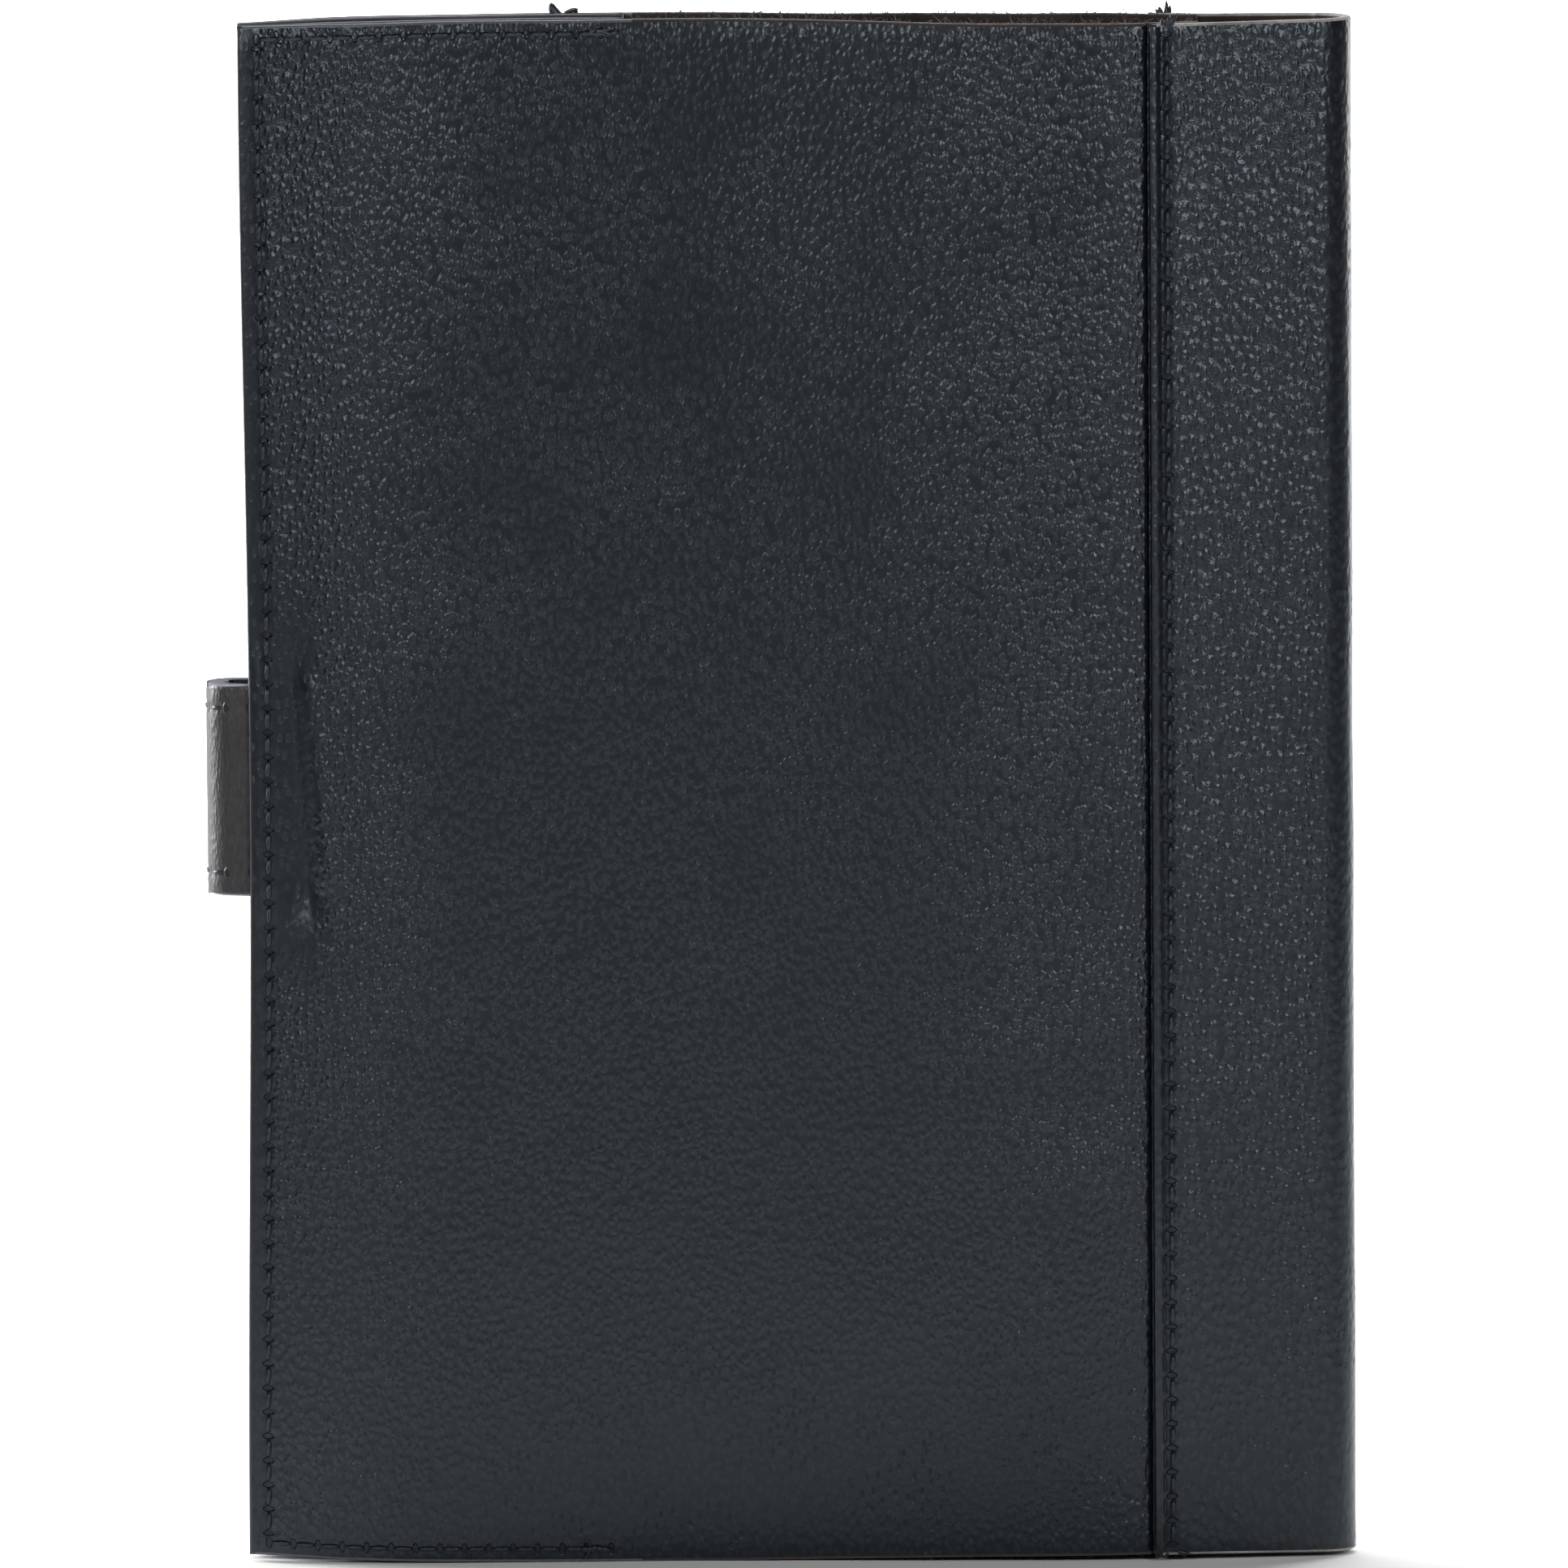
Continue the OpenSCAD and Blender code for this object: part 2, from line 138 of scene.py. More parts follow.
class CoverSizes(PropertyGroup):
    """Sizes of the leather and the thread"""

    panel_t: FloatProperty(
        name="Panel thickness", description="Thickness of each panel", default=1.3 * MM, unit="LENGTH"
    )
    pocket_t: FloatProperty(
        name="Pocket thickness", description="Thickness of each pocket", default=1.0 * MM, unit="LENGTH"
    )
    spine_t: FloatProperty(
        name="Spine thickness", description="Thickness of the spine piece", default=1.2 * MM, unit="LENGTH"
    )
    strap_t: FloatProperty(
        name="Strap thickness", description="Thickness of the strap, face leather and lining together",
        default=2.4 * MM, unit="LENGTH"
    )
    spine_depth: FloatProperty(
        name="Spine depth", description="How far the round of the spine stands out", default=5.5 * MM,
        unit="LENGTH"
    )
    bend_r: FloatProperty(
        name="Strap bend", description="Outer radius of the bend of the strap", default=4.275 * MM,
        unit="LENGTH"
    )
    root_l: FloatProperty(
        name="Strap root", description="Length of the strap root under the back panel", default=9.6 * MM,
        unit="LENGTH"
    )
    outline_bow: FloatProperty(
        name="Outline bow",
        description="How far the upper and lower edges bow out between fore-edge and seam", default=1.0 * MM,
        unit="LENGTH"
    )
    lip: FloatProperty(
        name="Strap lip",
        description="How far the back panel stands up in a lip around the end of the strap root",
        default=0.30 * MM, unit="LENGTH"
    )
    pitch: FloatProperty(
        name="Stitch pitch", description="Distance from one stitch to the next", default=3.5 * MM,
        unit="LENGTH"
    )
    stitch_l: FloatProperty(
        name="Stitch length", description="Length of thread that shows in a stitch", default=2.75 * MM,
        unit="LENGTH"
    )
    thread_d: FloatProperty(
        name="Thread", description="Thickness of the thread", default=0.72 * MM, unit="LENGTH"
    )
    edge_inset: FloatProperty(
        name="Edge inset", description="Distance of the edge stitching from the fore-edge", default=2.8 * MM,
        unit="LENGTH"
    )
    end_inset: FloatProperty(
        name="End inset", description="Distance of the pocket rows from the upper and lower edges",
        default=1.9 * MM, unit="LENGTH"
    )
    seam_inset: FloatProperty(
        name="Seam inset", description="Distance of the seam stitching from the folded edge",
        default=2.5 * MM, unit="LENGTH"
    )
    strap_inset: FloatProperty(
        name="Strap inset", description="Distance of the strap stitching from its edge", default=3.4 * MM,
        unit="LENGTH"
    )
    fibre_count: IntProperty(
        name="Fibres", description="Loose fibres along each raw edge", default=260, min=0, max=2000
    )
    seed: IntProperty(name="Seed", description="Start of the random order", default=7)


class CoverColours(PropertyGroup):
    """Colours of the leather, the thread and the snap"""

    panel: FloatVectorProperty(
        name="Panel", description="Charcoal of the panels", subtype="COLOR", size=4, default=srgb("#181b20")
    )
    spine: FloatVectorProperty(
        name="Spine", description="Charcoal of the spine piece", subtype="COLOR", size=4,
        default=srgb("#1c1f23")
    )
    strap: FloatVectorProperty(
        name="Strap", description="Brownish grey of the strap", subtype="COLOR", size=4,
        default=srgb("#272528")
    )
    lining: FloatVectorProperty(
        name="Lining", description="Dark lining of the strap and the pockets", subtype="COLOR", size=4,
        default=srgb("#232021")
    )
    flesh: FloatVectorProperty(
        name="Flesh side", description="Suede on the inner side of the leather", subtype="COLOR", size=4,
        default=srgb("#2c2221")
    )
    cut: FloatVectorProperty(
        name="Cut edge", description="Pale cut edge of the spine piece", subtype="COLOR", size=4,
        default=srgb("#85827e")
    )
    paint: FloatVectorProperty(
        name="Edge paint", description="Lavender grey paint on the cut edges", subtype="COLOR", size=4,
        default=srgb("#74757f")
    )
    thread: FloatVectorProperty(
        name="Thread", description="Waxed black thread", subtype="COLOR", size=4, default=srgb("#1e2023")
    )
    metal: FloatVectorProperty(
        name="Snap", description="Dark plating of the snap", subtype="COLOR", size=4, default=srgb("#8a8b8e")
    )


class StudioSettings(PropertyGroup):
    """The camera and the lights"""

    lens: FloatProperty(name="Lens", description="Focal length in millimetres", default=650.0)
    elevation: FloatProperty(
        name="Elevation", description="Height of the view above the horizon", subtype="ANGLE",
        default=math.radians(7.5)
    )
    roll: FloatProperty(
        name="Roll", description="Turn of the camera about its view", subtype="ANGLE",
        default=math.radians(0.35)
    )
    view_w: FloatProperty(
        name="View width", description="Width of the view at the cover", default=223.9 * MM, unit="LENGTH"
    )
    left: FloatProperty(
        name="Left light", description="Power of the left soft box", default=1.4, unit="POWER"
    )
    right: FloatProperty(
        name="Right light", description="Power of the right soft box", default=1.6, unit="POWER"
    )
    rim: FloatProperty(
        name="Rim light", description="Power of the side light at the fore-edge; the spine has less",
        default=2.2, unit="POWER"
    )
    room: FloatProperty(name="Room light", description="Brightness of the room", default=0.03)
    back: FloatProperty(
        name="Back light", description="Power of the light over the floor behind the cover", default=46.0,
        unit="POWER"
    )


# ---- materials ----

HOLE_LEAN = math.radians(-40)
COLD_SHINE = (0.78, 0.90, 1.0, 1.0)
# Near black painted into the stitch holes as the shade in them: one for the grained leathers, one for the
# strap.
LEATHER_HOLE_SHADE = (0.0008, 0.0008, 0.001, 1.0)
STRAP_HOLE_SHADE = (0.0012, 0.0012, 0.0014, 1.0)


def add_node(tree, kind, inputs=None, **settings):
    """Adds a node with its settings, and sets or links its inputs, which are named or numbered."""
    made = tree.nodes.new(kind)
    for name, value in settings.items():
        setattr(made, name, value)
    for key, value in (inputs or {}).items():
        if isinstance(value, bpy.types.NodeSocket):
            tree.links.new(value, made.inputs[key])
        else:
            made.inputs[key].default_value = value
    return made


def shaded(tone, share):
    """The tone at a share of its brightness."""
    return [share * c for c in tone[:3]] + [1.0]


def new_material(name):
    """A material with its node tree and principled shader, or the material alone where it is there already."""
    found = bpy.data.materials.get(name)
    if found:
        return found, None, None
    made = bpy.data.materials.new(name)
    made.use_nodes = True
    made.node_tree.nodes.clear()
    shader = add_node(made.node_tree, "ShaderNodeBsdfPrincipled")
    add_node(made.node_tree, "ShaderNodeOutputMaterial", {"Surface": shader.outputs["BSDF"]})
    return made, made.node_tree, shader


def hole_mask(tree, across, along, row, first, pitch, lean, end=None):
    """1 in a slanted stitch hole, for a row of holes at one distance across the leather, up to an end."""
    apart = add_node(tree, "ShaderNodeMath", {0: across, 1: row}, operation="SUBTRACT")
    steps = add_node(tree, "ShaderNodeMath", {0: along, 1: first}, operation="SUBTRACT")
    steps = add_node(
        tree, "ShaderNodeMath", {0: steps.outputs[0], 1: pitch / 2, 2: -pitch / 2}, operation="WRAP"
    )
    both = add_node(tree, "ShaderNodeCombineXYZ", {0: apart.outputs[0], 1: steps.outputs[0]})
    turned = add_node(
        tree, "ShaderNodeMapping",
        {0: both.outputs[0], "Rotation": (0, 0, lean), "Scale": (1300.0, 2500.0, 1)}, vector_type="POINT"
    )
    far = add_node(tree, "ShaderNodeVectorMath", {0: turned.outputs[0]}, operation="LENGTH")
    mask = add_node(
        tree, "ShaderNodeMapRange", {0: far.outputs["Value"], 1: 1.2, 2: 0.8, 3: 0.0, 4: 1.0},
        interpolation_type="SMOOTHSTEP"
    ).outputs[0]
    if end is None:
        return mask
    within = add_node(tree, "ShaderNodeMath", {0: along, 1: end}, operation="LESS_THAN").outputs[0]
    return add_node(tree, "ShaderNodeMath", {0: mask, 1: within}, operation="MULTIPLY").outputs[0]


def punch_holes(tree, apart, holes, colour, height, black):
    """Paints shade near black into each row of stitch holes and sinks the leather there: (axis, row, first,
    pitch, lean, end).
    """
    for axis, row, first, pitch, lean, end in holes:
        mask = hole_mask(tree, apart.outputs[axis], apart.outputs[1 - axis], row, first, pitch, lean, end)
        # painted shade: the leather goes near black inside each hole
        colour = add_node(tree, "ShaderNodeMix", {0: mask, 6: colour, 7: black}, data_type="RGBA").outputs[2]
        height = add_node(
            tree, "ShaderNodeMath", {0: mask, 1: -1.5, 2: height}, operation="MULTIPLY_ADD"
        ).outputs[0]
    return colour, height


def grain_leather(name, tone, pebble, depth, rough, calm=(), pores=0.0, holes=(), zones=()):
    """Drum-tumbled full-grain calf with a satin pigment finish: rounded pebbles of uneven size parted by soft
    creases. Light glints on the crowns. The creases are painted darker as shade, and the crowns lighter as
    burnish. Where the hide is stretched, the pebbles flatten and the pores show, painted dark as the shade in
    them. calm holds (axis, start, end, share): the grain keeps that share before start.
    zones holds (x limits, y limits, share): the grain keeps that share between the two inner limits."""
    made, tree, shader = new_material(name)
    if tree is None:
        return made
    flat = add_node(tree, "ShaderNodeUVMap", uv_map="flat").outputs[0]
    apart = add_node(tree, "ShaderNodeSeparateXYZ", {0: flat})
    drift = add_node(
        tree, "ShaderNodeTexNoise", {"Vector": flat, "Scale": 620.0, "Detail": 2.0}, noise_dimensions="2D"
    )
    drift = add_node(
        tree, "ShaderNodeVectorMath", {0: drift.outputs["Color"], 1: (0.5, 0.5, 0.5)}, operation="SUBTRACT"
    )
    drift = add_node(
        tree, "ShaderNodeVectorMath", {0: drift.outputs[0], "Scale": 0.8 * MM}, operation="SCALE"
    )
    place = add_node(tree, "ShaderNodeVectorMath", {0: flat, 1: drift.outputs[0]}, operation="ADD").outputs[0]
    place = add_node(
        tree, "ShaderNodeMapping",
        {0: place, "Rotation": (0.0, 0.0, math.radians(-10)), "Scale": (1.0, 0.68, 1.0)}
    ).outputs[0]
    cells = add_node(
        tree, "ShaderNodeTexVoronoi", {"Vector": place, "Scale": 1 / pebble, "Smoothness": 0.25},
        voronoi_dimensions="2D", feature="SMOOTH_F1"
    )
    crowns = add_node(
        tree, "ShaderNodeMapRange", {0: cells.outputs["Distance"], 1: 0.65, 2: 0.05, 3: 0.0, 4: 1.0},
        interpolation_type="SMOOTHSTEP"
    ).outputs[0]
    fine = add_node(
        tree, "ShaderNodeTexNoise", {"Vector": flat, "Scale": 2600.0, "Detail": 2.0}, noise_dimensions="2D"
    )
    patch = add_node(
        tree, "ShaderNodeTexNoise", {"Vector": flat, "Scale": 55.0, "Detail": 3.0, "Roughness": 0.6},
        noise_dimensions="2D"
    )
    height = add_node(
        tree, "ShaderNodeMath", {0: fine.outputs[0], 1: 0.35, 2: crowns}, operation="MULTIPLY_ADD"
    ).outputs[0]
    uneven = add_node(
        tree, "ShaderNodeMapRange", {0: patch.outputs[0], 1: 0.3, 2: 0.7, 3: 0.7, 4: 1.25}
    ).outputs[0]
    height = add_node(tree, "ShaderNodeMath", {0: height, 1: uneven}, operation="MULTIPLY").outputs[0]
    for axis, start, end, share in calm:
        kept = add_node(
            tree, "ShaderNodeMapRange", {0: apart.outputs[axis], 1: start, 2: end, 3: share, 4: 1.0},
            interpolation_type="SMOOTHSTEP"
        ).outputs[0]
        height = add_node(tree, "ShaderNodeMath", {0: height, 1: kept}, operation="MULTIPLY").outputs[0]
    for across, up, share in zones:
        inside = 1.0
        for axis, (a, b, c, d) in ((0, across), (1, up)):
            rise = add_node(
                tree, "ShaderNodeMapRange", {0: apart.outputs[axis], 1: a, 2: b, 3: 0.0, 4: 1.0},
                interpolation_type="SMOOTHSTEP"
            ).outputs[0]
            fall = add_node(
                tree, "ShaderNodeMapRange", {0: apart.outputs[axis], 1: c, 2: d, 3: 1.0, 4: 0.0},
                interpolation_type="SMOOTHSTEP"
            ).outputs[0]
            both = add_node(tree, "ShaderNodeMath", {0: rise, 1: fall}, operation="MULTIPLY").outputs[0]
            inside = add_node(tree, "ShaderNodeMath", {0: both, 1: inside}, operation="MULTIPLY").outputs[0]
        kept = add_node(tree, "ShaderNodeMapRange", {0: inside, 1: 0.0, 2: 1.0, 3: 1.0, 4: share}).outputs[0]
        height = add_node(tree, "ShaderNodeMath", {0: height, 1: kept}, operation="MULTIPLY").outputs[0]
    gloss = add_node(
        tree, "ShaderNodeMapRange", {0: crowns, 1: 0.1, 2: 0.9, 3: rough + 0.03, 4: rough}
    ).outputs[0]
    # painted shade in the creases, which are darker; the crowns are lighter as burnish
    colour = add_node(
        tree, "ShaderNodeMix", {0: crowns, 6: shaded(tone, 0.55), 7: shaded(tone, 1.15)}, data_type="RGBA"
    ).outputs[2]
    if pores:
        stretched = add_node(tree, "ShaderNodeMapping", {0: flat, "Scale": (1.0, 0.55, 1.0)}).outputs[0]
        dots = add_node(
            tree, "ShaderNodeTexVoronoi", {"Vector": stretched, "Scale": 640.0}, voronoi_dimensions="2D",
            feature="F1"
        )
        dots = add_node(
            tree, "ShaderNodeMapRange", {0: dots.outputs["Distance"], 1: 0.24, 2: 0.13, 3: 0.0, 4: pores}
        ).outputs[0]
        zone = add_node(
            tree, "ShaderNodeMapRange", {0: patch.outputs[0], 1: 0.40, 2: 0.55, 3: 0.25, 4: 1.0}
        ).outputs[0]
        dots = add_node(tree, "ShaderNodeMath", {0: dots, 1: zone}, operation="MULTIPLY").outputs[0]
        # the pores are painted dark as the shade in them; they are also sunk and made rougher
        colour = add_node(
            tree, "ShaderNodeMix", {0: dots, 6: colour, 7: shaded(tone, 0.2)}, data_type="RGBA"
        ).outputs[2]
        height = add_node(
            tree, "ShaderNodeMath", {0: dots, 1: -0.7, 2: height}, operation="MULTIPLY_ADD"
        ).outputs[0]
        gloss = add_node(
            tree, "ShaderNodeMath", {0: dots, 1: 0.55, 2: gloss}, operation="MULTIPLY_ADD"
        ).outputs[0]
    colour, height = punch_holes(tree, apart, holes, colour, height, LEATHER_HOLE_SHADE)
    tree.links.new(colour, shader.inputs["Base Color"])
    tree.links.new(gloss, shader.inputs["Roughness"])
    bump = add_node(tree, "ShaderNodeBump", {"Strength": 1.0, "Distance": depth, "Height": height})
    tree.links.new(bump.outputs[0], shader.inputs["Normal"])
    shader.inputs["Specular Tint"].default_value = COLD_SHINE
    return made


def strap_leather(name, tone, holes):
    """Fine-grained calf, lightly brushed: small even grain that stretches into fine lines along the bend."""
    made, tree, shader = new_material(name)
    if tree is None:
        return made
    flat = add_node(tree, "ShaderNodeUVMap", uv_map="flat").outputs[0]
    drawn = add_node(tree, "ShaderNodeMapping", {0: flat, "Scale": (1.0, 0.38, 1.0)}).outputs[0]
    cells = add_node(
        tree, "ShaderNodeTexVoronoi", {"Vector": drawn, "Scale": 2300.0}, voronoi_dimensions="2D",
        feature="F1"
    )
    lines = add_node(
        tree, "ShaderNodeTexNoise", {"Vector": drawn, "Scale": 1500.0, "Detail": 4.0, "Roughness": 0.6},
        noise_dimensions="2D"
    )
    patch = add_node(
        tree, "ShaderNodeTexNoise", {"Vector": flat, "Scale": 160.0, "Detail": 2.0}, noise_dimensions="2D"
    )
    height = add_node(
        tree, "ShaderNodeMath", {0: cells.outputs["Distance"], 1: -0.5, 2: lines.outputs[0]},
        operation="MULTIPLY_ADD"
    ).outputs[0]
    # painted shade: the grain is coloured darker where it lies lower, in its lines and between its cells
    colour = add_node(tree, "ShaderNodeMapRange", {0: height, 1: 0.0, 2: 0.55, 3: 0.0, 4: 1.0}).outputs[0]
    colour = add_node(
        tree, "ShaderNodeMix", {0: colour, 6: shaded(tone, 0.55), 7: shaded(tone, 1.35)}, data_type="RGBA"
    ).outputs[2]
    shade = add_node(
        tree, "ShaderNodeMapRange", {0: patch.outputs[0], 1: 0.35, 2: 0.65, 3: 0.0, 4: 0.35}
    ).outputs[0]
    colour = add_node(
        tree, "ShaderNodeMix", {0: shade, 6: colour, 7: shaded(tone, 0.6)}, data_type="RGBA"
    ).outputs[2]
    apart = add_node(tree, "ShaderNodeSeparateXYZ", {0: flat})
    colour, height = punch_holes(tree, apart, holes, colour, height, STRAP_HOLE_SHADE)
    tree.links.new(colour, shader.inputs["Base Color"])
    bump = add_node(tree, "ShaderNodeBump", {"Strength": 1.0, "Distance": 0.09 * MM, "Height": height})
    tree.links.new(bump.outputs[0], shader.inputs["Normal"])
    shader.inputs["Roughness"].default_value = 0.40
    return made


def suede(name, tone):
    """The flesh side of the hide, left raw: matt short nap with soft darker and lighter strokes."""
    made, tree, shader = new_material(name)
    if tree is None:
        return made
    place = add_node(tree, "ShaderNodeTexCoord").outputs["Object"]
    nap = add_node(tree, "ShaderNodeTexNoise", {"Vector": place, "Scale": 2600.0, "Detail": 3.0})
    strokes = add_node(tree, "ShaderNodeTexNoise", {"Vector": place, "Scale": 130.0, "Detail": 4.0})
    mixed = add_node(
        tree, "ShaderNodeMath", {0: nap.outputs[0], 1: 0.5, 2: strokes.outputs[0]}, operation="MULTIPLY_ADD"
    ).outputs[0]
    mixed = add_node(tree, "ShaderNodeMapRange", {0: mixed, 1: 0.5, 2: 1.0, 3: 0.0, 4: 1.0}).outputs[0]
    colour = add_node(
        tree, "ShaderNodeMix", {0: mixed, 6: shaded(tone, 0.6), 7: shaded(tone, 1.6)}, data_type="RGBA"
    )
    tree.links.new(colour.outputs[2], shader.inputs["Base Color"])
    bump = add_node(
        tree, "ShaderNodeBump", {"Strength": 0.8, "Distance": 0.12 * MM, "Height": nap.outputs[0]}
    )
    tree.links.new(bump.outputs[0], shader.inputs["Normal"])
    shader.inputs["Roughness"].default_value = 0.92
    shader.inputs["Sheen Weight"].default_value = 0.25
    shader.inputs["Sheen Roughness"].default_value = 0.5
    return made


def edge_paint(name, tone, rough=0.35):
    """Acrylic edge paint laid over a cut edge in coats: smooth, softly glossy, with slight waves."""
    made, tree, shader = new_material(name)
    if tree is None:
        return made
    place = add_node(tree, "ShaderNodeTexCoord").outputs["Object"]
    waves = add_node(tree, "ShaderNodeTexNoise", {"Vector": place, "Scale": 900.0, "Detail": 2.0})
    colour = add_node(
        tree, "ShaderNodeMix", {0: waves.outputs[0], 6: shaded(tone, 0.75), 7: shaded(tone, 1.2)},
        data_type="RGBA"
    )
    tree.links.new(colour.outputs[2], shader.inputs["Base Color"])
    bump = add_node(
        tree, "ShaderNodeBump", {"Strength": 0.5, "Distance": 0.05 * MM, "Height": waves.outputs[0]}
    )
    tree.links.new(bump.outputs[0], shader.inputs["Normal"])
    shader.inputs["Roughness"].default_value = rough
    return made


def waxed_thread(name, tone):
    """Twisted polyester thread, waxed: near black, with a soft shine; its colour is painted in lighter and
    darker bands along the twist, as light and shade on the plies.
    """
    made, tree, shader = new_material(name)
    if tree is None:
        return made
    place = add_node(tree, "ShaderNodeUVMap", uv_map="flat").outputs[0]
    apart = add_node(tree, "ShaderNodeSeparateXYZ", {0: place})
    turn = add_node(
        tree, "ShaderNodeMath", {0: apart.outputs[1], 1: 40.0, 2: apart.outputs[0]}, operation="MULTIPLY_ADD"
    ).outputs[0]
    turn = add_node(
        tree, "ShaderNodeMath", {0: apart.outputs[0], 1: 12.57, 2: turn}, operation="MULTIPLY_ADD"
    ).outputs[0]
    twist = add_node(tree, "ShaderNodeMath", {0: turn}, operation="SINE").outputs[0]
    level = add_node(tree, "ShaderNodeMapRange", {0: twist, 1: -1.0, 2: 1.0, 3: 0.0, 4: 1.0}).outputs[0]
    # painted light and shade: the colour runs from dark to light with the twist
    colour = add_node(
        tree, "ShaderNodeMix", {0: level, 6: shaded(tone, 0.4), 7: shaded(tone, 1.7)}, data_type="RGBA"
    )
    tree.links.new(colour.outputs[2], shader.inputs["Base Color"])
    bump = add_node(tree, "ShaderNodeBump", {"Strength": 0.7, "Distance": 0.08 * MM, "Height": level})
    tree.links.new(bump.outputs[0], shader.inputs["Normal"])
    shader.inputs["Roughness"].default_value = 0.38
    shader.inputs["Specular Tint"].default_value = COLD_SHINE
    return made


def plated_snap(name, tone):
    """Brass with a dark nickel plating, tumbled: soft reflections and a faint haze of fine scratches."""
    made, tree, shader = new_material(name)
    if tree is None:
        return made
    place = add_node(tree, "ShaderNodeTexCoord").outputs["Object"]
    haze = add_node(tree, "ShaderNodeTexNoise", {"Vector": place, "Scale": 1800.0, "Detail": 4.0})
    rough = add_node(tree, "ShaderNodeMapRange", {0: haze.outputs[0], 1: 0.3, 2: 0.7, 3: 0.22, 4: 0.38})
    tree.links.new(rough.outputs[0], shader.inputs["Roughness"])
    colour = add_node(
        tree, "ShaderNodeMix", {0: haze.outputs[0], 6: shaded(tone, 0.3), 7: shaded(tone, 0.6)},
        data_type="RGBA"
    )
    tree.links.new(colour.outputs[2], shader.inputs["Base Color"])
    bump = add_node(
        tree, "ShaderNodeBump", {"Strength": 0.25, "Distance": 0.02 * MM, "Height": haze.outputs[0]}
    )
    tree.links.new(bump.outputs[0], shader.inputs["Normal"])
    shader.inputs["Metallic"].default_value = 1.0
    return made


# ---- cutting and forming ----


def cut_piece(columns, rows, thickness, rim, trim=None, join=None):
    """A flat piece of leather with rounded edges: a grid at the given columns and rows, given a thickness.
    Its outer side is at Z 0 and its inner side at Z thickness. trim moves a point of the flat outline.
    The end at X join stays square, because the piece's other half carries on from there."""
    bm = bmesh.new()
    bmesh.ops.create_grid(bm, x_segments=len(columns) - 1, y_segments=len(rows) - 1, size=0.5)
    across, up = np.linspace(0, 1, len(columns)), np.linspace(0, 1, len(rows))
    for v in bm.verts:
        v.co.x = float(np.interp(v.co.x + 0.5, across, columns))
        v.co.y = float(np.interp(v.co.y + 0.5, up, rows))
        if trim:
            v.co.x, v.co.y = trim(v.co.x, v.co.y)
    grown = bmesh.ops.extrude_face_region(bm, geom=bm.faces[:])["geom"]
    bmesh.ops.translate(
        bm, verts=[g for g in grown if isinstance(g, bmesh.types.BMVert)], vec=(0, 0, thickness)
    )
    bmesh.ops.recalc_face_normals(bm, faces=bm.faces[:])
    for e in bm.edges:
        if join is not None and all(abs(v.co.x - join) < 1e-7 for v in e.verts):
            e.smooth = False

    def is_corner(e):
        """True where a side of the leather meets its cut edge, apart from the joined end."""
        return e.smooth and len(e.link_faces) == 2 and 0.5 < sum(abs(f.normal.z) for f in e.link_faces) < 1.5

    corner = [e for e in bm.edges if is_corner(e)]
    settings = {"offset_type": "OFFSET", "segments": 3, "profile": 0.5, "affect": "EDGES"}
    bmesh.ops.bevel(bm, geom=corner, offset=rim, clamp_overlap=True, material=-1, **settings)
    return bm


def form_piece(name, bm, shape, thickness, materials, edge=lambda x: 2):
    """Forms a flat piece with shape(x, y, depth share) and makes its object. Its flat place becomes a UV map.
    The materials are for the outer side, the inner side and the edges. edge(x) numbers that of an edge."""
    layer = bm.loops.layers.uv.new("flat")
    for face in bm.faces:
        level = face.calc_center_median().z / thickness
        face.material_index = 0 if level < 0.02 else 1 if level > 0.98 else edge(face.calc_center_median().x)
        face.smooth = True
        for loop in face.loops:
            loop[layer].uv = loop.vert.co.xy
    for v in bm.verts:
        v.co = shape(v.co.x, v.co.y, v.co.z / thickness)
    bmesh.ops.recalc_face_normals(bm, faces=bm.faces[:])
    return finish_piece(name, bm, materials)


def finish_piece(name, bm, materials):
    """Makes an object of the mesh, at the origin, and links it to the scene."""
    mesh = bpy.data.meshes.new(name)
    bm.to_mesh(mesh)
    bm.free()
    for material in materials:
        mesh.materials.append(material)
    made = bpy.data.objects.new(name, mesh)
    bpy.context.scene.collection.objects.link(made)
    return made


@lru_cache(maxsize=None)
def bow(s):
    """Share of the bow by which the upper and lower edges stand out of a straight line."""
    places = [-5, 0, 12, 24, 40, 57, 70, 82, 105, 128, 140, 160]
    shares = [0.0, 0.0, 0.5, 0.76, 0.95, 1.0, 0.9, 0.69, 0.29, 0.06, 0.15, 0.35]
    return float(np.interp(s / MM, places, shares))


def level_up(s, z, sizes, seed):
    """Height of a point once the leather's upper and lower edges bow out a little."""
    share = z / HEIGHT
    low = sizes.outline_bow * (1 - bow(s))
    high = HEIGHT + sizes.outline_bow * (0.9 + bow(s))
    wave = 0.16 * MM * noise.noise(Vector((s * 55, seed, 0.3)))
    return low + (high - low) * share + wave * share


def stitch_rows(count, low, pitch):
    """Heights of the grid's rows: four to each stitch, with the edges closer together."""
    rows = [low + (i - 0.5) * pitch / 4 for i in range(4 * count + 1)]
    rows = [r for r in rows if 1.2 * MM < r < HEIGHT - 1.2 * MM]
    return [0.0] + rows + [HEIGHT]


def first_stitch(low, high, pitch):
    """Number of stitches between two heights, and the height where the first one starts."""
    count = int((high - low) / pitch + 1e-6)
    return count, (low + high - count * pitch) / 2


def cover_point(side, s, height, z):
    """A point at a distance from the fore-edge and from the middle plane; side is -1 for the back."""
    return Vector((FORE_X + s, MID_Y + side * height, z))


def slack_edge(s, z):
    """How far the fore-edge hangs in at half height; it fades out across the panel."""
    return 0.9 * MM * math.sin(math.pi * z / HEIGHT) ** 2 * max(0.0, 1 - s / (30 * MM))


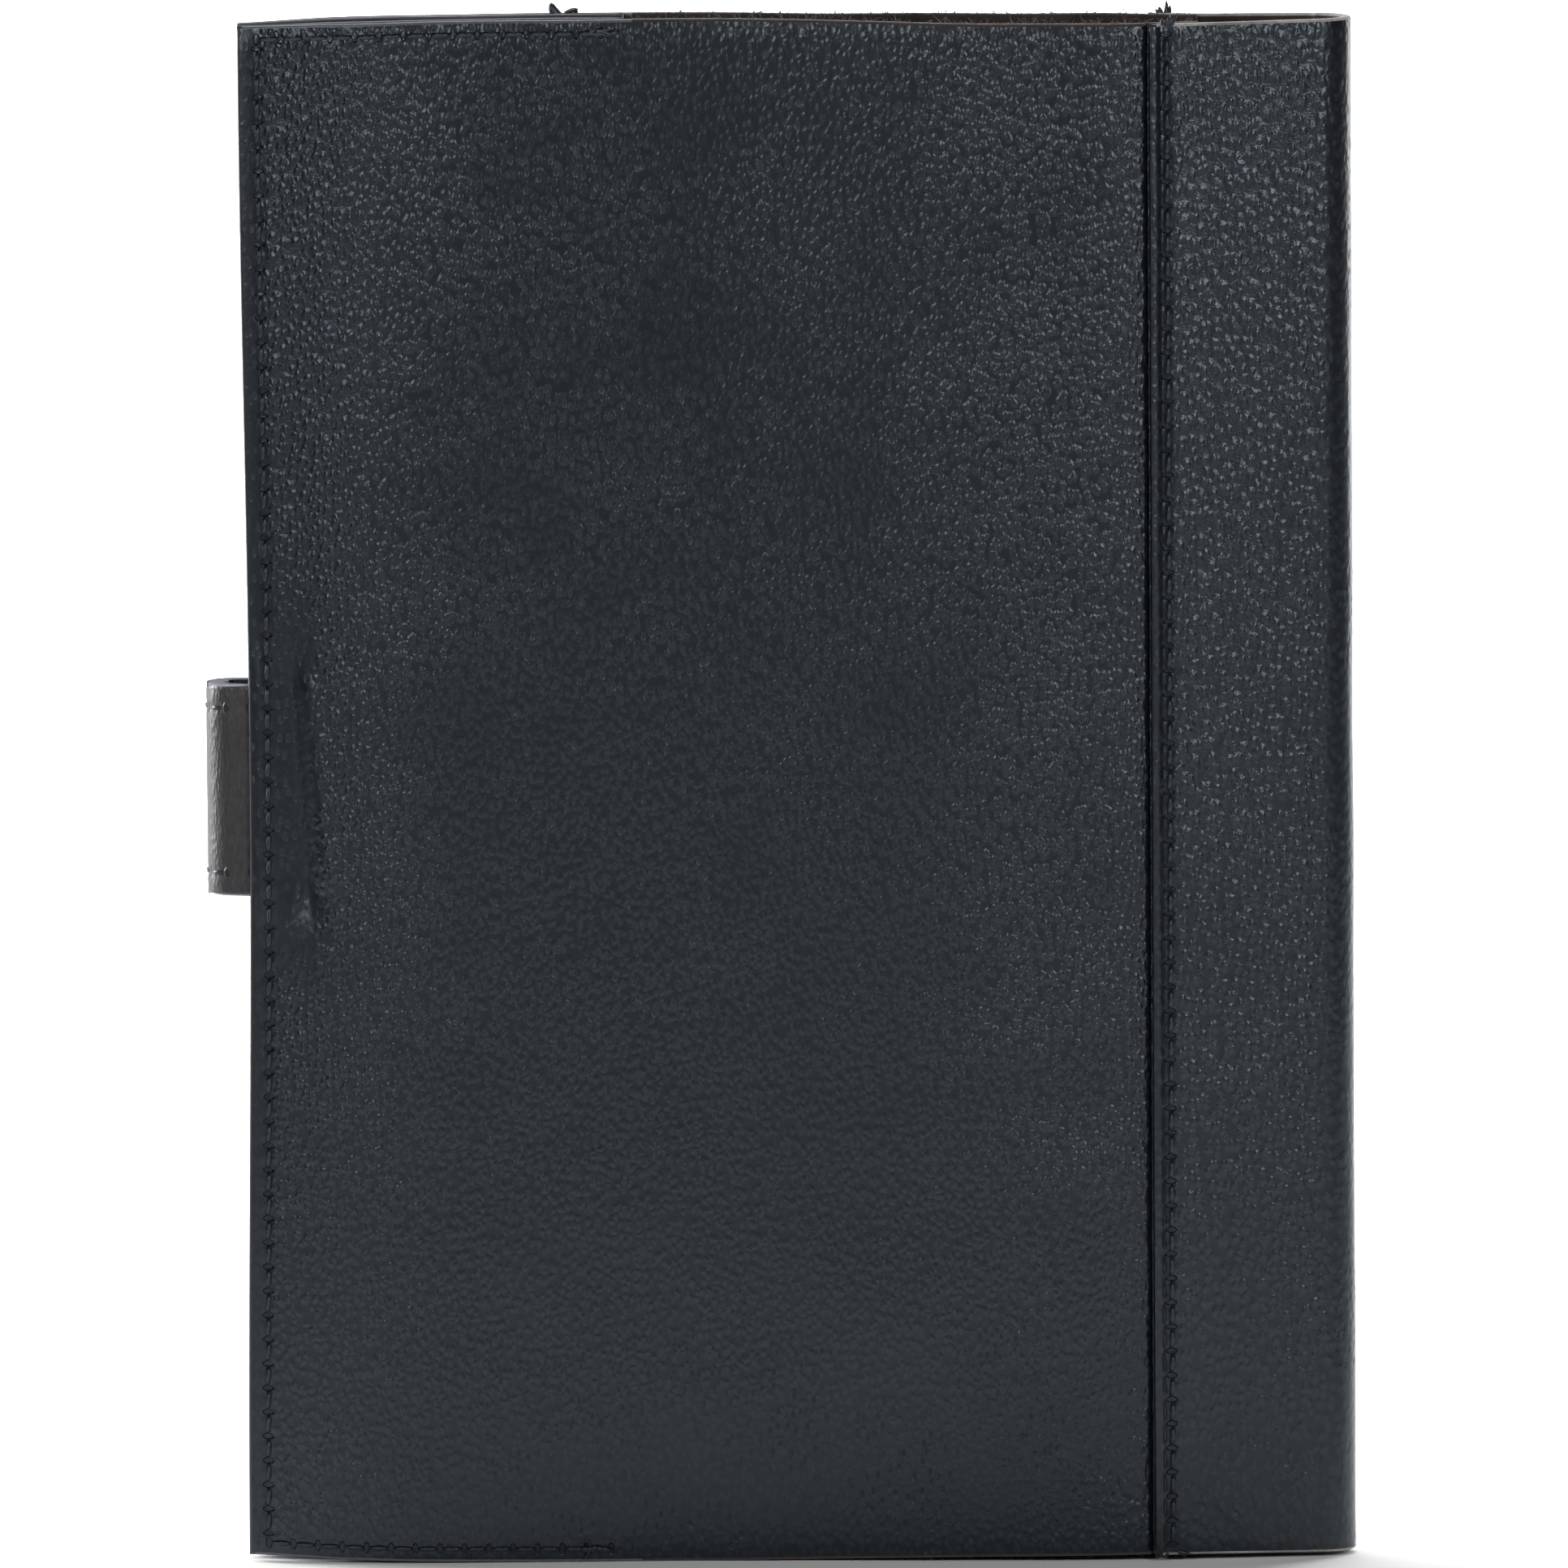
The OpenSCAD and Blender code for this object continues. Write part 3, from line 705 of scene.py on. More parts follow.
def dimple(s, z, row, width, first, pitch, count):
    """How deep the leather is drawn in between the stitches of an upright row."""
    along = (z - first) / pitch
    if not 0 < along < count:
        return 0.0
    return 0.16 * MM * hump(s, row, width) * (0.5 + 0.5 * math.cos(2 * math.pi * along))


def stand_in(made, body, nodes):
    """Makes a piece ride on a body and take the place of its nodes."""
    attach(made, body)
    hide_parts(*nodes)


# ---- panels ----


# Distance of the back panel's outer skin from the middle plane where the strap root is sewn under it.
ROOT_LEVEL = 3.25 * MM


def root_hold(s, z, sizes):
    """Share by which the sewn strap root holds the back panel down, and the lip that stands up past it."""
    beyond = abs(z - STRAP_MID) - STRAP_W / 2
    end = sizes.root_l - 1.2 * MM + 1.4 * MM * (STRAP_MID - z) / (STRAP_W / 2)
    width = (3.4 + 5.0 * ease(beyond / (7 * MM))) * MM
    share = ease((end - s) / width + 0.5) * ease((8 * MM - beyond) / (10 * MM))
    return share, hump(s, end + 2.0 * MM, 1.6 * MM) * ease((1 * MM - beyond) / (3 * MM))


def panel_columns(sizes):
    """Stations of the grid's columns, closer together at the edge stitching, the strap root and the seam."""
    near = [0.0, 0.8, 1.4, 1.9, 2.3, 2.8, 3.3, 3.9, 4.6, 5.2, 5.7] + [6.1 + 0.35 * i for i in range(18)]
    columns = [c * MM for c in near]
    seam = [SEAM_S + (i - 6) * 0.2 * MM for i in range(9)]
    for end, step in ((seam[0], 1.35 * MM), (PANEL_W, 1.3 * MM)):
        count = int((end - columns[-1]) / step) + 1
        low = columns[-1]
        columns += [low + (end - low) * (i + 1) / count for i in range(count)]
        if end < PANEL_W:
            columns += seam[1:]
    return columns


@lru_cache(maxsize=None)
def fullness(side, s):
    """How far a cover stands out past its plain profile: full by the fore-edge, and drawn in at the seam."""
    full = 1.05 if side < 0 else 0.35
    full *= ease((s / MM) / 24) * (
        1 - 0.85 * ease((s / MM - 24) / 40)
    ) - 0.55 * hump(s / MM, 4, 7) * (side < 0)
    return full * MM - 0.75 * MM * hump(s, SEAM_S + 5 * MM, 9 * MM)


def panel_shape(side, sizes, seed):
    inset = sizes.edge_inset
    count, first = first_stitch(inset, HEIGHT - inset, sizes.pitch)

    def shape(s, z, depth):
        out = reading(PANEL_LINE, FORE_X + s, 1.3 * MM if s > 1.5 * MM else 0.0) + fullness(side, s)
        swell = 0.32 * MM * noise.noise(Vector((s * 22, z * 15, seed)))
        swell += 0.10 * MM * noise.noise(Vector((s * 90, z * 70, seed + 4)))
        out += swell * ease(s / (14 * MM)) * ease((SEAM_S + 2 * MM - s) / (12 * MM))
        relief = -0.10 * MM * hump(s, inset, 0.9 * MM)
        relief -= dimple(s, z, inset, 0.7 * MM, first, sizes.pitch, count)
        relief -= 0.15 * MM * hump(s, SEAM_S - 0.2 * MM, 1.1 * MM) + 0.75 * MM * hump(
            s, SEAM_S - 0.28 * MM, 0.36 * MM
        )
        if side < 0 and s < 22 * MM:
            share, lip = root_hold(s, z, sizes)
            edge_level = reading(PANEL_LINE, FORE_X + 1.5 * MM)
            out += (
                edge_level + (ROOT_LEVEL - edge_level) * ease((s - 2.5 * MM) / (4 * MM)) - out
            ) * share * ease(s / (2 * MM))
            relief += sizes.lip * lip
        point = cover_point(
            side, s, out - depth * sizes.panel_t + relief * (1 - depth), level_up(s, z, sizes, seed)
        )
        point.x += slack_edge(s, z)
        return point

    return shape


def painted_edge(s):
    """Number of a panel's edge material: the edge paint darkened near black at the fore-edge as painted shade,
    dark beside the pocket, raw past it.
    """
    return 4 if s < 0.7 * MM else 3 if s < POCKET_W + 1 * MM else 2


class COVER_OT_panels(Operator):
    """Makes the back and the front panel"""

    bl_idname = "cover.panels"
    bl_label = "Panels"

    def execute(self, context):
        sizes, colours = context.scene.cover_sizes, context.scene.cover_colours
        count, first = first_stitch(sizes.edge_inset, HEIGHT - sizes.edge_inset, sizes.pitch)
        # the hide lies stretched at the fore-edge, low down, over the middle and at the strap root
        calm = ((0, 2.2 * MM, 4.5 * MM, 0.15), (1, 10 * MM, 90 * MM, 0.75))
        middle = ((14 * MM, 42 * MM, 88 * MM, 116 * MM), (-2, -1, 1, 2), 0.5)
        root = ((-2, -1, 8.5 * MM, 12 * MM), [STRAP_MID + k * MM for k in (-34, -17, 17, 38)], 0.12)
        for side, word in ((-1, "back"), (1, "front")):
            bm = cut_piece(
                panel_columns(sizes), stitch_rows(count, first, sizes.pitch), sizes.panel_t, 0.4 * MM
            )
            holes = [(0, sizes.edge_inset, first, sizes.pitch, HOLE_LEAN, None)]
            for row in (sizes.end_inset, HEIGHT - sizes.end_inset):
                holes.append((1, row, sizes.edge_inset, sizes.pitch, HOLE_LEAN, POCKET_W))
            skins = [
                grain_leather(
                    "pebbled_calf", colours.panel, pebble=0.95 * MM, depth=0.115 * MM, rough=0.29,
                    calm=calm, pores=0.6, holes=holes, zones=(middle, root),
                ),
                suede("raw_flesh_side", colours.flesh),
                suede("raw_cut_edge", colours.flesh),
                edge_paint("dark_edge_paint", shaded(colours.paint, 0.5)),
                # the same edge paint at a small share of its brightness: painted shade on the fore-edge
                edge_paint("fore_edge_painted_shade", shaded(colours.paint, 0.07)),
            ]
            form = panel_shape(side, sizes, 3.0 + side)
            made = form_piece(f"{word}_panel_leather", bm, form, sizes.panel_t, skins, painted_edge)
            stand_in(made, f"{word}_cover", [f"{word}_panel"])
        return {"FINISHED"}


# ---- pockets ----


def pocket_shape(side, sizes):
    inner = skin_line("front_pocket", -1)
    seed = 9.0 + side

    def shape(s, z, depth):
        edge = min(s, z, HEIGHT - z)
        snug = ease(edge / (5.5 * MM))
        flap = sizes.pocket_t - reading(inner, FORE_X + s, 0.0)
        seat = reading(PANEL_LINE, FORE_X + s, 0.0) - sizes.panel_t - 0.06 * MM
        out = seat + (flap - seat) * snug
        out += 0.15 * MM * noise.noise(Vector((s * 40, z * 25, seed))) * snug
        if side < 0:
            push = ease((sizes.root_l + 2.5 * MM - s) / (2.5 * MM))
            push *= ease((STRAP_W / 2 + 2.2 * MM - abs(z - STRAP_MID)) / (2.2 * MM))
            out += (0.38 * MM - out) * push
        point = cover_point(side, s, out - depth * sizes.pocket_t, level_up(s, z, sizes, seed))
        point.x += slack_edge(s, z)
        return point

    return shape


class COVER_OT_pockets(Operator):
    """Makes the pocket inside each cover"""

    bl_idname = "cover.pockets"
    bl_label = "Pockets"

    def execute(self, context):
        sizes, colours = context.scene.cover_sizes, context.scene.cover_colours
        for side, word in ((-1, "back"), (1, "front")):
            columns = [i * POCKET_W / 46 for i in range(47)]
            rows = [i * HEIGHT / 176 for i in range(177)]
            bm = cut_piece(columns, rows, sizes.pocket_t, 0.3 * MM)
            skins = [
                suede("raw_flesh_side", colours.flesh),
                grain_leather(
                    "smooth_lining_calf", colours.lining, pebble=0.7 * MM, depth=0.05 * MM, rough=0.45
                ),
                edge_paint("dark_edge_paint", shaded(colours.paint, 0.5)),
            ]
            made = form_piece(f"{word}_pocket_leather", bm, pocket_shape(side, sizes), sizes.pocket_t, skins)
            stand_in(made, f"{word}_cover", [f"{word}_pocket"])
        return {"FINISHED"}


# ---- spine piece ----


@lru_cache(maxsize=None)
def spine_path(q, depth):
    """A point of the spine piece's outer skin, as (X, distance from the middle plane), and the way out of it,
    with the length of the straight run and of the round."""
    start = FORE_X + COVER_W - depth
    run = start - (FORE_X + SEAM_S)
    tall = reading(WING_LINE, start)
    quarter = math.pi / 2 * (depth + tall) / 2

    def at(q):
        if q <= run:
            return Vector((FORE_X + SEAM_S + q, reading(WING_LINE, FORE_X + SEAM_S + max(q, 1.3 * MM)), 0))
        turn = (q - run) / quarter * math.pi / 2
        return Vector((start + depth * math.sin(turn), tall * math.cos(turn), 0))

    way = at(q + 0.15 * MM) - at(q - 0.15 * MM)
    return at(q), Vector((-way.y, way.x, 0)).normalized(), run, quarter


class COVER_OT_spine(Operator):
    """Makes the spine piece, in two halves that meet along the middle of the spine"""

    bl_idname = "cover.spine"
    bl_label = "Spine piece"

    def execute(self, context):
        sizes, colours = context.scene.cover_sizes, context.scene.cover_colours
        count, first = first_stitch(0.0, HEIGHT, sizes.pitch)
        run, quarter = spine_path(0.0, sizes.spine_depth)[2:]
        near = [0.0, 0.7, 1.0, 1.25, 1.5, 1.8, 2.1, 2.5, 2.9, 3.4, 4.0, 4.8, 5.6]
        columns = [c * MM for c in near]
        columns += [columns[-1] + (run - columns[-1]) * (i + 1) / 18 for i in range(18)]
        columns += [run + quarter * (i + 1) / 22 for i in range(22)]
        halves = ((-1, "back", ("spine_back_wing", "spine_wrap")), (1, "front", ("spine_front_wing",)))
        # the grain is drawn flat beside the seam, again just before the round, and towards the lower edge
        calm = ((0, 2.2 * MM, 4 * MM, 0.35), (0, 27 * MM, 22 * MM, 0.25), (1, -20 * MM, 80 * MM, 0.5))

        def folded_edge(q, last=columns[-1]):
            return 0 if q < 0.9 * MM else 2 if q < last - 1e-6 else 1

        for side, word, others in halves:

            def shape(q, z, depth, side=side, seed=21.0):
                point, out, run, quarter = spine_path(q, sizes.spine_depth)
                end = ease((run + quarter - q) / (6 * MM))
                relief = 0.30 * MM * hump(q, 0.9 * MM, 0.55 * MM) - 0.30 * MM * hump(q, 1.7 * MM, 0.35 * MM)
                relief -= 0.12 * MM * hump(q, sizes.seam_inset, 0.8 * MM)
                relief -= dimple(q, z, sizes.seam_inset, 0.6 * MM, first, sizes.pitch, count)
                relief += 0.10 * MM * noise.noise(Vector((q * 60, z * 45, seed + side * end)))
                lift = 0.55 * MM * max(0.0, 1 - q / (1.3 * MM)) ** 2
                off = relief * (1 - 0.6 * depth) + lift - depth * sizes.spine_t
                off += fullness(side, SEAM_S + q) * ease(1.6 - q / (12 * MM))
                spot = point + out * off
                return cover_point(side, spot.x - FORE_X, spot.y, level_up(point.x - FORE_X, z, sizes, seed))

            rows = stitch_rows(count, first, sizes.pitch)
            bm = cut_piece(columns, rows, sizes.spine_t, 0.38 * MM, join=columns[-1])
            holes = [(0, sizes.seam_inset, first, sizes.pitch, HOLE_LEAN, None)]
            skins = [
                grain_leather(
                    "pebbled_spine_calf", colours.spine, pebble=1.15 * MM, depth=0.13 * MM, rough=0.28,
                    calm=calm, pores=0.3, holes=holes,
                ),
                suede("raw_flesh_side", colours.flesh),
                suede("pale_cut_edge", colours.cut),
            ]
            made = form_piece(f"spine_leather_{word}", bm, shape, sizes.spine_t, skins, folded_edge)
            start = spine_path(run, sizes.spine_depth)[0]
            a = cover_point(side, start.x - FORE_X, start.y, HEIGHT / 2)
            if side < 0:
                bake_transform(made)
            else:
                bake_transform(made)
            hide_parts(*others)
        return {"FINISHED"}


# ---- strap ----


def strap_path(q, sizes):
    """A point of the strap's outer skin, as (X, Y), and the way out of it. q is 0 at the middle of the bend,
    and falls towards the root."""
    r = sizes.bend_r
    centre = Vector((bend_low.x + r, (bend_low.y + bend_high.y) / 2, 0))
    quarter = math.pi / 2 * r

    def at(q):
        if abs(q) <= quarter:
            turn = math.pi - q / r
            return centre + r * Vector((math.cos(turn), math.sin(turn), 0))
        x = centre.x + abs(q) - quarter
        if q < 0:
            low = centre.y - r
            under = MID_Y - (ROOT_LEVEL - sizes.panel_t - 0.05 * MM)
            return Vector((x, low + (under - low) * ease((x - FORE_X - 2 * MM) / (4 * MM)), 0))
        return Vector((x, MID_Y + reading(TAIL_LINE, x), 0))

    way = at(q + 0.15 * MM) - at(q - 0.15 * MM)
    return at(q), Vector((-way.y, way.x, 0)).normalized(), quarter


class COVER_OT_strap(Operator):
    """Makes the strap, in two lengths that meet at the middle of its bend"""

    bl_idname = "cover.strap"
    bl_label = "Strap"

    def execute(self, context):
        sizes, colours = context.scene.cover_sizes, context.scene.cover_colours
        quarter = strap_path(0, sizes)[2]
        start_x = bend_low.x + sizes.bend_r
        tail = quarter + TAIL_END - start_x
        root = quarter + FORE_X + sizes.root_l - start_x
        rows = [i * STRAP_W / 44 for i in range(45)]
        tip = 12 * MM
        stitched = (sizes.strap_inset, STRAP_W - sizes.strap_inset)
        holes = [(1, row, sizes.pitch / 2, sizes.pitch, -HOLE_LEAN, None) for row in stitched]
        lengths = (
            (
                "root", -root, 0.0,
                ("strap_root_leather", "strap_root_lining", "strap_bend_leather", "strap_bend_lining")
            ),
            ("tail", 0.0, tail, ("strap_tail_leather", "strap_tail_lining")),
        )
        for word, low, high, nodes in lengths:
            count = max(26, int((high - low) / (0.7 * MM)))
            columns = [low + (high - low) * i / count for i in range(count + 1)]

            def trim(q, w):
                reach = q - (tail - tip)
                if reach <= 0:
                    return q, w
                narrow = tip - math.sqrt(max(0.0, tip * tip - min(reach, tip) ** 2))
                half = STRAP_W / 2
                return q, half + (w - half) * (half - narrow) / half

            def shape(q, w, depth):
                point, out, quarter = strap_path(q, sizes)
                thick = sizes.strap_t + 0.9 * MM * hump(q, 0.0, 3.6 * MM)
                if q < -quarter:
                    thick += (1.3 * MM - thick) * ease((-q - quarter) / (2.5 * MM))
                edge = min(w, STRAP_W - w)
                relief = -0.10 * MM * hump(edge, sizes.strap_inset, 0.7 * MM)
                relief += 0.06 * MM * noise.noise(Vector((q * 60, w * 60, 2)))
                relief -= 0.10 * MM * (1 - ease(edge / (2.0 * MM)))
                spot = point + out * (relief * (1 - depth) - depth * thick)
                return Vector((spot.x, spot.y, STRAP_MID - STRAP_W / 2 + w))

            bm = cut_piece(columns, rows, sizes.strap_t, 1.1 * MM, trim, join=0.0)
            skins = [
                strap_leather("fine_strap_calf", colours.strap, holes),
                grain_leather(
                    "smooth_lining_calf", colours.lining, pebble=0.7 * MM, depth=0.05 * MM, rough=0.45
                ),
                edge_paint("strap_edge_paint", colours.paint),
            ]
            made = form_piece(f"strap_{word}", bm, shape, sizes.strap_t, skins)
            a = strap_path(-quarter, sizes)[0]
            b = strap_path(0, sizes)[0]
            c = strap_path(quarter, sizes)[0]
            if word == "root":
                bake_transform(made)
                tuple(a)
                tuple(b)
            else:
                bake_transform(made)
                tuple(b)
                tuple(c)
            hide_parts(*nodes)
        return {"FINISHED"}


# ---- stitching ----


def lay_tube(bm, points, radii, across, sides=7, flat=1.0):
    """A closed tube of thread through the points: a ring of the given radius at each, and a tip at both ends.
    across is a direction that the rings keep to, and flat squeezes them along the other one."""
    layer = bm.loops.layers.uv["flat"]
    rings, length = [], 0.0
    for i, (point, r) in enumerate(zip(points, radii)):
        along = (points[min(i + 1, len(points) - 1)] - points[max(i - 1, 0)]).normalized()
        side = along.cross(across).normalized()
        up = side.cross(along)
        length += (point - points[i - 1]).length if i else 0.0
        if i in (0, len(points) - 1):
            rings.append((length, [bm.verts.new(point)]))
        else:
            turns = [2 * math.pi * k / sides for k in range(sides)]
            rings.append(
                (
                    length,
                    [bm.verts.new(point + r * (side * math.cos(t) + up * flat * math.sin(t))) for t in turns]
                )
            )
    for (low, a), (high, b) in zip(rings, rings[1:]):
        for k in range(sides):
            n = (k + 1) % sides
            corners = [a[k % len(a)], a[n % len(a)], b[n % len(b)], b[k % len(b)]]
            places = [(k / sides, low), ((k + 1) / sides, low), ((k + 1) / sides, high), (k / sides, high)]
            kept = [(v, p) for m, (v, p) in enumerate(zip(corners, places)) if v not in corners[:m]]
            face = bm.faces.new([v for v, p in kept])
            face.smooth = True
            for loop, (v, p) in zip(face.loops, kept):
                loop[layer].uv = p


def lay_stitch(bm, middle, along, out, length, thick):
    """One stitch: a length of thread that rises out of one hole and dips into the next."""
    along, out = along.normalized(), out.normalized()
    arch = ((-0.5, -0.6), (-0.44, -0.2), (-0.25, 0.08), (0.0, 0.16), (0.25, 0.08), (0.44, -0.2), (0.5, -0.6))
    points = [middle + along * length * k + out * thick * rise for k, rise in arch]
    lay_tube(bm, points, [thick * r for r in (0.3, 0.40, 0.50, 0.52, 0.50, 0.40, 0.3)], out, 7, 0.8)


def above_floor(point, gap):
    """The point, lifted where it would lie lower than gap above the floor."""
    return Vector((point.x, point.y, max(point.z, gap)))


def lay_tail(bm, start, way, length, thick, pick):
    """A cut thread end: it leaves the hole, bends over and frays to a point."""
    bend = Vector([pick.uniform(-0.5, 0.5) for _ in range(3)])
    steps = (0, 0.2, 0.4, 0.6, 0.8, 1.0)
    points = [start + (way.normalized() * k + bend * k * k * 0.7) * length for k in steps]
    points = [above_floor(point, thick) for point in points]
    lay_tube(bm, points, [thick * r for r in (0.5, 0.5, 0.48, 0.42, 0.3, 0.1)], Vector((0.3, 0.9, 0.2)), 6)


def back_stitch(bm, place, ahead, way, sizes, pick):
    """The end of a row: a few stitches sewn over each other, and two cut ends."""
    for _ in range(5):
        spot = place + ahead * pick.uniform(-1.6, 1.6) * MM + way * pick.uniform(0.1, 0.35) * MM
        lean = ahead + Vector((0, 0, pick.uniform(-0.35, 0.35))) + way * pick.uniform(-0.1, 0.1)
        lay_stitch(bm, spot, lean, way, sizes.stitch_l * 0.9, sizes.thread_d * 1.1)
    for _ in range(2):
        lead = ahead * pick.uniform(-1, 1) + way * 0.35 + Vector((0, 0, pick.uniform(-0.8, 0.8)))
        lay_tail(bm, place + way * 0.1 * MM, lead, 1.9 * MM, sizes.thread_d * 0.7, pick)


def new_thread():
    """An empty mesh for lay_tube to add to."""
    bm = bmesh.new()
    bm.loops.layers.uv.new("flat")
    return bm


class COVER_OT_stitching(Operator):
    """Lays the edge, seam and strap stitching"""

    bl_idname = "cover.stitching"
    bl_label = "Stitching"

    def execute(self, context):
        sizes, colours = context.scene.cover_sizes, context.scene.cover_colours
        pick = random.Random(sizes.seed)
        thread = [waxed_thread("waxed_thread", colours.thread)]
        up = Vector((0, 0, 1))
        edge = sizes.edge_inset
        for side, word in ((-1, "back"), (1, "front")):
            way = Vector((0, side, 0))
            outer, inner = panel_shape(side, sizes, 3.0 + side), pocket_shape(side, sizes)
            bm = new_thread()
            count, first = first_stitch(edge, HEIGHT - edge, sizes.pitch)
            for form, depth, out in ((outer, 0, way), (inner, 1, -way)):
                for i in range(count):
                    z = first + (i + 0.5) * sizes.pitch
                    lean = up + Vector((0.10 + pick.uniform(-0.03, 0.03), 0, 0))
                    lay_stitch(
                        bm, form(edge, z, depth) + out * 0.05 * MM, lean, out, sizes.stitch_l, sizes.thread_d
                    )
                for z, reach in ((sizes.end_inset, 52 * MM), (HEIGHT - sizes.end_inset, POCKET_W)):
                    for i in range(int((reach - edge) / sizes.pitch)):
                        s = edge + (i + 0.5) * sizes.pitch
                        a, b = form(s - 1 * MM, z, depth), form(s + 1 * MM, z, depth)
                        lay_stitch(
                            bm, (a + b) / 2 + out * 0.05 * MM, b - a, out, sizes.stitch_l, sizes.thread_d
                        )
                    back_stitch(bm, form(reach - 3 * MM, z, depth), Vector((1, 0, 0)), out, sizes, pick)
            if side > 0:
                knot = (
                    (46, 0.9, Vector((-0.9, 0, 0.8)), 3.2, 2.4), (46.5, 0.7, Vector((0.9, 0, 0.6)), 3.0, 2.2)
                )
                for s, depth, lead, length, thick in knot:
                    start = outer(s * MM, HEIGHT - 0.8 * MM, depth)
                    lay_tail(bm, start, lead, length * MM, sizes.thread_d * thick, pick)
            made = finish_piece(f"{word}_edge_thread", bm, thread)
            stand_in(made, f"{word}_cover", [f"{word}_edge_stitching"])

            bm = new_thread()
            count, first = first_stitch(0.0, HEIGHT, sizes.pitch)
            point, out = spine_path(sizes.seam_inset, sizes.spine_depth)[:2]
            spot = point + out * (-0.12 * MM)
            for i in range(count):
                z = first + (i + 0.5) * sizes.pitch
                place = cover_point(side, spot.x - FORE_X, spot.y, level_up(SEAM_S, z, sizes, 21.0))
                lean = up + Vector((0.10 + pick.uniform(-0.03, 0.03), 0, 0))
                lay_stitch(bm, place, lean, Vector((out.x, side * out.y, 0)), sizes.stitch_l, sizes.thread_d)
                inside = spot.y - sizes.spine_t - sizes.panel_t - 0.05 * MM
                under = cover_point(side, spot.x - FORE_X, inside, place.z)
                lay_stitch(bm, under, up, -way, sizes.stitch_l, sizes.thread_d)
            for z, lift in ((0.6 * MM, -0.25), (HEIGHT - 0.6 * MM, 1.0)):
                for _ in range(4):
                    s = spot.x - FORE_X + pick.uniform(-0.6, 0.6) * MM
                    place = cover_point(side, s, spot.y - 0.8 * MM, level_up(SEAM_S, z, sizes, 21.0))
                    lead = Vector((pick.uniform(-0.8, 0.8), 0, lift))
                    lay_tail(bm, place, lead, pick.uniform(1.5, 2.6) * MM, sizes.thread_d, pick)
            made = finish_piece(f"{word}_seam_thread", bm, thread)
            stand_in(made, f"{word}_cover", [f"{word}_seam_stitching"])

        quarter = strap_path(0, sizes)[2]
        tail = quarter + TAIL_END - (bend_low.x + sizes.bend_r)
        spans = (
            ("strap_root_thread", -2, 0, ("strap_root_stitching", "strap_bend_stitching")),
            ("strap_tail_thread", 0, int((tail - 12 * MM) / sizes.pitch), ("strap_tail_stitching",)),
        )
        for name, low, high, nodes in spans:
            bm = new_thread()
            for w in (sizes.strap_inset, STRAP_W - sizes.strap_inset):
                for i in range(low, high):
                    q = (i + 1) * sizes.pitch
                    point, out = strap_path(q, sizes)[:2]
                    ahead = strap_path(q + 1 * MM, sizes)[0] - strap_path(q - 1 * MM, sizes)[0]
                    level = Vector((0, 0, STRAP_MID - STRAP_W / 2 + w))
                    face = point + level - out * 0.22 * MM
                    lay_stitch(bm, face, ahead, out, sizes.stitch_l * 0.72, sizes.thread_d)
                    lined = point + level - out * (sizes.strap_t - 0.05 * MM)
                    lay_stitch(bm, lined, ahead, -out, sizes.stitch_l * 0.6, sizes.thread_d)
            made = finish_piece(name, bm, thread)
            a, b, c = (strap_path(q, sizes)[0] for q in (-quarter, 0, quarter))
            if low < 0:
                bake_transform(made)
                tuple(a)
                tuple(b)
            else:
                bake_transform(made)
                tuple(b)
                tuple(c)
            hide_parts(*nodes)
        return {"FINISHED"}


# ---- raw edges ----


class COVER_OT_fibres(Operator):
    """Frays the raw edges with loose leather fibres"""

    bl_idname = "cover.fibres"
    bl_label = "Loose fibres"

    def execute(self, context):
        sizes, colours = context.scene.cover_sizes, context.scene.cover_colours
        pick = random.Random(sizes.seed + 1)
        for side, word in ((-1, "back"), (1, "front")):
            form = panel_shape(side, sizes, 3.0 + side)
            bm = new_thread()
            for z, lift in ((0.2 * MM, -0.15), (HEIGHT - 0.15 * MM, 1.0)):
                for _ in range(sizes.fibre_count):
                    s = pick.uniform(POCKET_W + 1 * MM, PANEL_W - 1 * MM)
                    start = form(s, z, pick.uniform(0.35, 1.0))
                    way = Vector((pick.uniform(-1, 1), pick.uniform(-0.4, 0.4), lift * pick.uniform(0.2, 1)))
                    length = pick.uniform(0.5, 1.5) * MM
                    bend = Vector([pick.uniform(-0.5, 0.5) for _ in range(3)])
                    points = [start + (way * k + bend * k * k) * length for k in (0, 0.35, 0.7, 1.0)]
                    points = [above_floor(point, 0.07 * MM) for point in points]
                    radii = [0.06 * MM, 0.055 * MM, 0.04 * MM, 0.01 * MM]
                    lay_tube(bm, points, radii, Vector((0.2, 0.9, 0.3)), 3)
            made = finish_piece(f"{word}_edge_fibres", bm, [suede("loose_fibre", colours.flesh)])
            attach(made, f"{word}_cover")
        return {"FINISHED"}


# ---- snap ----


def turned_piece(name, profile, middle, materials, steps=40):
    """A turned metal piece: a profile of (radius, height along Y) points spun about the snap's axis."""
    bm = bmesh.new()
    verts = [bm.verts.new((middle.x + r, middle.y + h, middle.z)) for r, h in profile]
    edges = [bm.edges.new(pair) for pair in zip(verts, verts[1:])]
    bmesh.ops.spin(
        bm, geom=verts + edges, cent=middle, axis=(0, 1, 0), angle=2 * math.pi, steps=steps, use_merge=True
    )
    bmesh.ops.remove_doubles(bm, verts=bm.verts[:], dist=1e-6)
    bmesh.ops.recalc_face_normals(bm, faces=bm.faces[:])
    for face in bm.faces:
        face.smooth = True
    return finish_piece(name, bm, materials)


